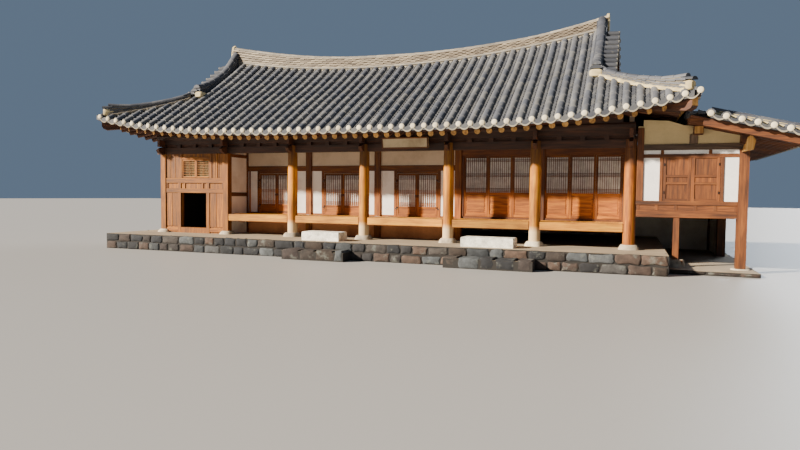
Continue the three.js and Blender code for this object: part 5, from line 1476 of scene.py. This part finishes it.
def rough_stone(pile, corner, along, wide, tall, out, deep):
    """A dressed block in a wall: a slightly uneven outline with its face's edges knocked off."""
    shift = grain_shift()
    marks = [(0.07, 0), (0.5, 0), (0.93, 0), (1, 0.14), (1, 0.5), (1, 0.86)]
    marks += [(1 - u, 1 - v) for u, v in marks]
    moves = []
    for u, v in marks:
        lift = max(v * tall + DICE.uniform(-STONE_JITTER, STONE_JITTER), 0.001 - corner.z)
        moves.append((u * wide + DICE.uniform(-STONE_JITTER, STONE_JITTER), lift))
    rings = []
    for reach, inset in [(0, 0)] + [(deep + step, inset) for step, inset in STONE_STEPS]:
        ring = []
        for u, v in moves:
            du, dv = wide / 2 - u, tall / 2 - v
            share = inset / max(0.05, math.hypot(du, dv))
            way_out = out * (reach + DICE.uniform(-STONE_ROUGH, STONE_ROUGH))
            ring.append(corner + along * (u + du * share) + UP * (v + dv * share) + way_out)
        rings.append(ring)
    bulge = corner + along * (wide / 2) + UP * (tall / 2) + out * (deep + 0.006)
    loft(pile, rings, capped=False, grain=moved(joined(rings), shift))
    count = len(marks)
    first = len(pile.points) - 4 * count
    last = first + 3 * count
    pile.faces.append(list(range(first + count - 1, first - 1, -1)))
    pile.faces.extend([last + j, last + (j + 1) % count, last + count] for j in range(count))
    pile.slots.extend([0] * (count + 1))
    pile.points.append(tuple(bulge))
    pile.grain.extend(moved([bulge], shift))


def stone_run(pile, start, along, length, z0, z1, out, deep, narrow=0.30, broad=0.60):
    """One course of blocks along a face."""
    run = 0.0
    while run < length - 0.01:
        wide = DICE.uniform(narrow, broad)
        if length - run - wide < narrow * 0.7:
            wide = length - run
        low = z0 + DICE.uniform(0, 0.01)
        corner = Vector(start) + along * (run + STONE_JOINT)
        corner.z = low
        tall = z1 - low - DICE.uniform(0.006, 0.016)
        face = deep + DICE.uniform(-0.008, 0.008)
        rough_stone(pile, corner, along, wide - 2 * STONE_JOINT, tall, out, face)
        run += wide


def build_masonry():
    """The stone faces of the platform, the yard steps and the wing's base, and two step blocks."""
    left, right, front, back = -8.0725, 7.9225, -4.37, 3.92
    platform, steps, low = Pile(), Pile(), Pile()
    wide, deep = right - left, back - front
    for levels in COURSE_LEVELS:
        stone_run(platform, (left, front + 0.05, 0), X_WAY, wide, *levels, -Y_WAY, 0.075)
        stone_run(platform, (left, back - 0.05, 0), X_WAY, wide, *levels, Y_WAY, 0.075)
        stone_run(platform, (left + 0.05, front, 0), Y_WAY, deep, *levels, -X_WAY, 0.075)
        stone_run(platform, (right - 0.05, front, 0), Y_WAY, 0.64, *levels, X_WAY, 0.072)
    make("platform_stones", platform, "stone", "stone")
    for middle, width in ((-0.67, 1.8), (3.96, 2.14)):
        start = (middle - width / 2, -4.40, 0)
        stone_run(steps, start, X_WAY, width, 0.0, 0.285, -Y_WAY, 0.455, 0.34, 0.62)
    make("yard_steps", steps, "stone", "stone")
    stone_run(low, (right, -3.68, 0), X_WAY, 9.8225 - right, 0.0, 0.095, -Y_WAY, 0.055, 0.5, 0.9)
    stone_run(low, (9.7825, -3.70, 0), Y_WAY, 6.9, 0.0, 0.095, X_WAY, 0.055, 0.5, 0.9)
    make("wing_base_stones", low, "stone", "stone")
    for name, middle, width in (("left", -0.86, 1.12), ("right", 3.77, 1.32)):
        block = Pile()
        slab_block(block, middle - width / 2, middle + width / 2, -4.04, -3.48, 0.455, 0.70)
        make(f"step_block_{name}", block, "pale_stone", "pale_stone", replaces=[f"step_stone_{name}"])


def slab_block(pile, x0, x1, y0, y1, z0, z1):
    """A dressed block with softly worn, uneven edges."""
    shift = grain_shift()
    rings, marks = [], []
    for a, b in (((0, 0), (1, 0)), ((1, 0), (1, 1)), ((1, 1), (0, 1)), ((0, 1), (0, 0))):
        marks += [(mix(a[0], b[0], k / 8), mix(a[1], b[1], k / 8)) for k in range(8)]
    for share, inset in ((0, 0.0), (0.35, -0.002), (0.7, 0.0), (0.93, 0.004), (0.985, 0.014), (1, 0.03)):
        ring = []
        for u, v in marks:
            x = mix(x0 + inset, x1 - inset, u) + DICE.uniform(-STONE_ROUGH, STONE_ROUGH)
            y = mix(y0 + inset, y1 - inset, v) + DICE.uniform(-STONE_ROUGH, STONE_ROUGH)
            ring.append((x, y, mix(z0, z1, share) + DICE.uniform(-0.002, 0.002)))
        rings.append(ring)
    loft_apart(pile, rings, shift)


def build_name_board():
    """The blank face and dark rim of the board that leans out over the beam."""
    face, edge = Pile(), Pile()
    wide, tall, rim, tilt = 0.672, 0.152, 0.034, 0.22
    board(face, -wide + 0.01, wide - 0.01, -0.026, 0.0, -tall + 0.01, tall - 0.01, X, edge=0.002)
    for z in (-tall, tall - rim):
        board(edge, -wide, wide, -0.036, 0.0, z, z + rim, X)
    for x in (-wide, wide - rim):
        board(edge, x, x + rim, -0.037, 0.0, -tall + 0.002, tall - 0.002, Z)
    c, s = math.cos(tilt), math.sin(tilt)
    for pile in (face, edge):
        pile.points = [(x + 1.2625, y * c - z * s - 3.135, y * s + z * c + 3.165) for x, y, z in pile.points]
    make("name_board_face", face, "pale_stone", "board_face")
    make("name_board_rim", edge, "timber", "dark_wood")


def build_back_timbers():
    """Timbers over the rails and posts of the back and left walls, and of the wing's back."""
    pile = Pile()
    rails = [(z - RAIL_PAST, z + RAIL_TALL + RAIL_PAST) for z in RAIL_LEVELS]
    for a, b in zip(GRID_X, GRID_X[1:]):
        for levels in rails:
            board(pile, a + RAIL_INSET, b - RAIL_INSET, BACK_Y + 0.055, BACK_Y + 0.082, *levels, X)
    for x in GRID_X:
        spans = (x - POST_COVER, x + POST_COVER, BACK_Y + 0.08, BACK_Y + 0.107, PLATFORM_TOP, BEAM_TOP)
        board(pile, *spans, Z, edge=0.01)
    face = GRID_X[0] - 0.065
    grid_y = (FRONT_Y, WALL_Y, MIDDLE_Y, BACK_Y)
    for a, b in zip(grid_y, grid_y[1:]):
        for levels in rails:
            board(pile, face - 0.016, face + 0.01, a + RAIL_INSET, b - RAIL_INSET, *levels, Y)
    for y in (WALL_Y, MIDDLE_Y):
        spans = (face - 0.044, face - 0.02, y - POST_COVER, y + POST_COVER, PLATFORM_TOP, BEAM_TOP)
        board(pile, *spans, Z, edge=0.01)
    for z0, z1 in ((1.938, 2.042), (2.878, 3.022)):
        board(pile, 7.2225, 9.417, BACK_Y + 0.06, BACK_Y + 0.09, z0, z1, X)
    make("back_timbers", pile, "timber", "dark_wood")


def build_front_beam_details():
    """Boards over the blocks on the front beam, and the carved heads of the cross beams."""
    blocks, heads = Pile(), Pile()
    for a, b in zip(GRID_X, GRID_X[1:]):
        y = (FRONT_Y + 0.015, FRONT_Y + 0.04)
        board(blocks, a + 0.01, b - 0.01, *y, BEAM_TOP - 0.01, BLOCK_TOP + 0.01, X)
    make("block_boards", blocks, "timber", "beam_wood")
    for middle in GRID_X:
        rings = [[(middle + side, FRONT_Y + y, z) for y, z in BEAM_HEAD] for side in (-0.05, 0.05)]
        loft(heads, rings, grain=[(y, x + GRAIN_ASIDE, z + GRAIN_ASIDE) for x, y, z in joined(rings)])
        board(heads, middle - 0.045, middle + 0.045, FRONT_Y - 0.30, FRONT_Y + 0.02, 3.19, 3.40, Y)
    make("beam_heads", heads, "timber", "beam_wood")


def build_porch():
    """The porch's edge beams and its floor boards."""
    pile, deck = Pile(), Pile()
    bays = list(zip([ROOM_X] + GRID_X[2:], GRID_X[2:]))
    for a, b in bays:
        x0, x1 = a if a == ROOM_X else a + PORCH_POST_GAP, b - PORCH_POST_GAP
        board(pile, x0, x1, FRONT_Y - 0.086, FRONT_Y + 0.03, 0.885, 1.087, X, POST_EDGE)
    make("porch_edge", pile, "timber", "pale_wood")
    for a, b in bays:
        x0, x1 = a if a == ROOM_X else a + DECK_POST_GAP, b - DECK_POST_GAP
        count = round((x1 - x0) / DECK_BOARD)
        for i in range(count):
            spans = (mix(x0, x1, i / count) + 0.001, mix(x0, x1, (i + 1) / count) - 0.001)
            board(deck, *spans, FRONT_Y + 0.15, WALL_Y - 0.105, 1.07, 1.0935, Y, edge=0.003)
        board(deck, x0 + 0.1, x1 - 0.1, FRONT_Y + 0.03, FRONT_Y + 0.148, 1.07, 1.094, X)
    make("porch_boards", deck, "timber", "pale_wood")


def build_wing():
    """The front timbers, posts, stones and side rails of the wing."""
    front, tie = Pile(), Pile()
    x0, x1 = 7.2225, 9.4172
    face = FRONT_Y - 0.05
    back = face + 0.01
    board(tie, x0, WING_X + 0.095, face - 0.03, back, 2.878, 3.022, X, POST_EDGE)
    board(tie, 8.36, 8.54, face - 0.028, back, 3.022, 3.24, Z, POST_EDGE)
    make("wing_tie", tie, "timber", "grey_wood")
    board(front, 7.36, x1, face - 0.018, back, 2.70, 2.785, X)
    for x in (7.78, 8.82):
        board(front, x - 0.035, x + 0.035, face - 0.014, back, 2.785, 2.88, Z)
    board(front, x0 - 0.012, x1, face - 0.032, back, 1.566, 1.668, X, edge=0.006)
    for x in [mix(x0 + 0.035, x1 - 0.035, i / 5) for i in range(6)]:
        board(front, x - 0.035, x + 0.035, face - 0.020, back, 1.44, 1.578, Z)
    board(front, x0, x1, face - 0.012, back, 1.436, 1.60, X, THIN_EDGE)
    board(front, x0, x1, FRONT_Y - 0.078, FRONT_Y - 0.02, 1.268, 1.442, X, POST_EDGE)
    board(front, 7.215, 7.365, FRONT_Y - 0.085, FRONT_Y + 0.02, 1.663, 3.42, Z, POST_EDGE)
    make("wing_front_timbers", front, "timber", "amber")
    build_wing_window(7.7975, 9.0475, 1.652, 2.738)
    posts, stones, rails = Pile(), Pile(), Pile()
    for y in (MIDDLE_Y, BACK_Y):
        post_boards(posts, WING_X, y, 0.09, 2.876, 0.109)
    make("wing_posts", posts, "timber", "dark_wood")
    rough_block(stones, 8.1325, FRONT_Y, 0.08, 0.268, 0.21, 0.175)
    rough_block(stones, WING_X, FRONT_Y, 0.05, 0.112, 0.22, 0.19)
    make("wing_stones", stones, "pale_stone", "base_stone")
    for low, high in ((-2.81, 0.42), (0.64, 2.81)):
        for z in (1.44, 1.62, 2.26, 2.78):
            board(rails, WING_X + 0.02, WING_X + 0.068, low, high, z + 0.003, z + 0.11, Y)
        y = (low + high) / 2
        board(rails, WING_X + 0.02, WING_X + 0.064, y - 0.04, y + 0.04, 1.44, 2.85, Z)
    make("wing_side_rails", rails, "timber", "dark_wood")
    build_wing_carving()


def build_wing_window(left, right, bottom, top):
    """Two shutters with three panels each, in their frame, with strap irons."""
    window, dark, irons = Pile(), Pile(), Pile()
    face = FRONT_Y - 0.062
    back = face + 0.03
    middle = (left + right) / 2
    stile, half_rail = 0.075, 0.028
    low_rail, high_rail = mix(bottom, top, 0.40), mix(bottom, top, 0.56)
    levels = (bottom + 0.07, low_rail - half_rail, low_rail + half_rail, high_rail - half_rail,
              high_rail + half_rail, top - 0.06)
    for x in (left - 0.07, right):
        board(window, x, x + 0.07, face - 0.012, back, 1.662, 2.70, Z)
    for a, b in ((left + 0.004, middle - 0.002), (middle + 0.002, right - 0.004)):
        for x in (a, b - stile):
            board(window, x, x + stile, face, back, bottom, top, Z)
        inner = (a + stile, b - stile)
        for i in (1, 3):
            board(window, *inner, face + 0.002, back, levels[i], levels[i + 1], X)
        for z0, z1 in ((bottom, levels[0]), (levels[5], top)):
            board(window, *inner, face + 0.001, back, z0, z1, X)
        for i in (0, 2, 4):
            board(window, *inner, face + 0.018, back, levels[i], levels[i + 1], Z, edge=0.002)
    make("wing_shutters", window, "timber", "amber", replaces=["wing_window"])
    board(dark, left + 0.002, right - 0.002, FRONT_Y - 0.03, FRONT_Y + 0.01, bottom, top, Z)
    make("wing_window_back", dark, "timber", "dark_wood")
    for x in (left + 0.02, right - 0.05):
        for z in (bottom + 0.22, top - 0.2):
            board(irons, x, x + 0.03, face - 0.012, face + 0.001, z - 0.03, z + 0.03, Z, edge=0.002)
    make("wing_irons", irons, "timber", "iron")


def build_wing_carving():
    """The carved head of the wing's beam over its front post, and two pieces of plaster."""
    head, gap, patch = Pile(), Pile(), Pile()
    outline = [(9.46, 2.81), (9.66, 2.85), (9.705, 3.06), (9.61, 3.19), (9.53, 3.13), (9.50, 3.00)]
    sections = ((-3.285, 0.86), (-3.27, 1.0), (-3.12, 1.0), (-3.02, 1.0))
    rings = [[(mix(9.58, x, size), y, mix(3.0, z, size)) for x, z in outline] for y, size in sections]
    loft(head, rings, grain=[(z, x + GRAIN_ASIDE, y + GRAIN_ASIDE) for x, y, z in joined(rings)])
    board(head, 8.44, 8.625, -3.264, -3.24, 3.24, 3.405, Z, edge=0.006)
    outline = [(7.345, 3.36), (7.345, 3.61), (7.90, 3.577), (8.36, 3.42), (8.47, 3.40), (8.47, 3.36)]
    loft(gap, [[(x, y, z) for x, z in outline] for y in (-2.985, -2.90)])
    board(patch, 7.14, 7.925, 2.87, 2.97, 0.462, 1.268, X)
    make("wing_croft_patch", patch, "plaster", "croft")
    make("wing_plaster_pieces", gap, "plaster", "cream")
    make("wing_beam_head", head, "timber", "end_wood")


def wing_under(x):
    """The level of the wing roof's underside."""
    return WING_EDGE_Z - WING_SLOPE * (x - WING_EDGE_X)


def wing_at(y, x):
    return Vector((x, y, wing_under(x) + WING_THICK))


def wing_start(y):
    """How far in toward the house the wing's roof reaches."""
    share = clamp((abs(y) - WING_SHORT) / (WING_HALF - WING_SHORT), 0, 1)
    return mix(WING_TOP_X, WING_CORNER_X, share)


def build_wing_roof():
    length = WING_EAVE_X - WING_TOP_X
    count = round(2 * WING_INNER / TILE_PITCH)
    across = trough_places(-WING_INNER, 2 * WING_INNER / count, count)
    rings, grain = [], []
    for depth, step in tile_steps(length, FLAT_LENGTH):
        spots = [(y, max(WING_EAVE_X - depth, wing_start(y)), share) for y, share in across]
        rings.append([raised(wing_at(y, x), trough(share) + FLAT_STEP * step) for y, x, share in spots])
        grain.extend((y + WING_INNER, depth, 0) for y, _ in across)
    under = []
    for depth in (length, 0):
        spots = [(max(WING_EAVE_X - depth, wing_start(y)), y) for y, _ in across]
        under.append([Vector((x, y, wing_under(x))) for x, y in spots])
        grain.extend((y + WING_INNER, depth, 0) for y, _ in across)
    lay_bed("wing_bed", "wing_roof", rings, under, grain + grain[: len(across)])
    rounds, plugs, lips = Pile(), Pile(), Pile()
    places = [y for y, share in across if share == 0]
    for y in places:
        rings, grain = [], []
        for depth, step in tile_steps(WING_EAVE_X - wing_start(y), ROUND_LENGTH):
            centre = raised(wing_at(y, WING_EAVE_X - depth), ROUND_BASE)
            rings.append(half_round(centre, ROUND_RADIUS - ROUND_TAPER * (1 - step), Y_WAY, UP))
            grain.extend((y + WING_INNER, depth, 0.01 * j) for j in range(len(rings[0])))
        loft(rounds, rings, grain=grain)
    add_edge(plugs, lips, lambda y: wing_at(y, WING_EAVE_X), places, Y_WAY, X_WAY)
    for name, end in ENDS:
        build_wing_verge(name, end, rounds, plugs, lips)
    make("wing_rounds", rounds, "tile", "round_tile")
    make("wing_plugs", plugs, "tile", "plug")
    make("wing_lips", lips, "tile", "lip")


def build_wing_verge(name, end, rounds, plugs, lips):
    """Tiles laid across one end of the wing's roof, with a low ridge along them."""
    inner, outer = end * WING_INNER, end * WING_HALF
    run = WING_EAVE_X - WING_CORNER_X
    count = round(run / TILE_PITCH)
    across = trough_places(WING_CORNER_X, run / count, count)
    rings = []
    for x, share in across:
        top, foot = wing_at(0, x).z + trough(share) + 0.01, wing_under(x)
        rings.append([(x, inner, top + 0.02), (x, outer, top), (x, outer, foot), (x, inner, foot)])
    bed = Pile()
    loft(bed, rings, grain=[(x, y, 0) for x, y, _ in joined(rings)])
    make(f"wing_verge_{name}", bed, "tile", "flat_tile")
    places = [x for x, share in across if share == 0]
    for x in places:
        rings = []
        for y, lift in ((end * (WING_INNER - 0.05), 0.02), (outer, 0.0)):
            rings.append(half_round(raised(wing_at(y, x), ROUND_BASE + lift), ROUND_RADIUS, X_WAY, UP))
        loft(rounds, rings, grain=[(p.x, p.y, 0.01) for p in joined(rings)])
    add_edge(plugs, lips, lambda x: wing_at(outer, x), places, X_WAY, Y_WAY * end)

    def path(share):
        x = mix(WING_CORNER_X + 0.06, WING_EAVE_X - 0.15, share)
        foot = Vector((x, end * 3.67, wing_under(x) + 0.10))
        return foot, foot + UP * 0.20

    build_low_ridge(f"wing_ridge_{name}", path, Y_WAY, WING_RIDGE)
    make_core(f"wing_ridge_mortar_{name}", "lime", path, Y_WAY, (0.125, 0, 0.12), (0.09, 0, 0.08))


def link(thing):
    bpy.context.scene.collection.objects.link(thing)
    return thing


def make_camera():
    right = Vector((math.cos(CAMERA_YAW), math.sin(CAMERA_YAW), 0))
    ahead = Vector((-math.sin(CAMERA_YAW), math.cos(CAMERA_YAW), -math.tan(CAMERA_PITCH))).normalized()
    up = right.cross(ahead)
    across = right * math.cos(CAMERA_ROLL) + up * math.sin(CAMERA_ROLL)
    upward = up * math.cos(CAMERA_ROLL) - right * math.sin(CAMERA_ROLL)
    data = bpy.data.cameras.new("camera")
    data.lens = CAMERA_LENS
    data.sensor_width = SENSOR_WIDTH
    camera = link(bpy.data.objects.new("camera", data))
    turn = Matrix((across, upward, -ahead)).transposed().to_4x4()
    camera.matrix_world = Matrix.Translation(CAMERA_AT) @ turn
    bpy.context.scene.camera = camera


def make_stage():
    """The ground, the sky's light, the sun and a soft fill."""
    mesh = bpy.data.meshes.new("floor")
    corners = ((-1, -1), (1, -1), (1, 1), (-1, 1))
    mesh.from_pydata([(x * FLOOR_REACH, y * FLOOR_REACH, 0) for x, y in corners], [], [(0, 1, 2, 3)])
    floor = link(bpy.data.objects.new("floor", mesh))
    material = bpy.data.materials.new("floor")
    material.use_nodes = True
    material.node_tree.nodes["Principled BSDF"].inputs["Base Color"].default_value = FLOOR_COLOUR
    mesh.materials.append(material)
    world = bpy.data.worlds.new("world")
    world.use_nodes = True
    world.node_tree.nodes["Background"].inputs["Color"].default_value = SKY_COLOUR
    world.node_tree.nodes["Background"].inputs["Strength"].default_value = SKY_STRENGTH
    bpy.context.scene.world = world
    add_light("key", *KEY_LIGHT)
    add_light("fill", *FILL_LIGHT)


def add_light(name, energy, color, angle, side, height):
    """A soft distant light that shines from a side, at a height over the ground."""
    light = bpy.data.lights.new(name, "SUN")
    light.energy = energy
    light.color = color
    light.angle = math.radians(angle)
    side, height = math.radians(side), math.radians(height)
    level = Vector((math.sin(side), math.cos(side), 0)) * math.cos(height)
    lamp = link(bpy.data.objects.new(name, light))
    lamp.rotation_euler = (level - UP * math.sin(height)).to_track_quat("-Z", "Y").to_euler()


make_camera()
make_stage()
MATERIALS = {
    name: build(name, *[srgb(*colour) for colour in colours], **settings)
    for build, name, colours, settings in FINISHES
}
dress_nodes()
build_tiles()
build_eaves()
build_main_ridge()
build_corner_ridges()
build_rafters()
build_kitchen()
build_room_wall()
build_doors()
build_hall()
build_columns()
build_masonry()
build_back_timbers()
build_name_board()
build_front_beam_details()
build_porch()
build_wing()
build_wing_roof()
build_verges()
build_gables()
build_ridge_ends()
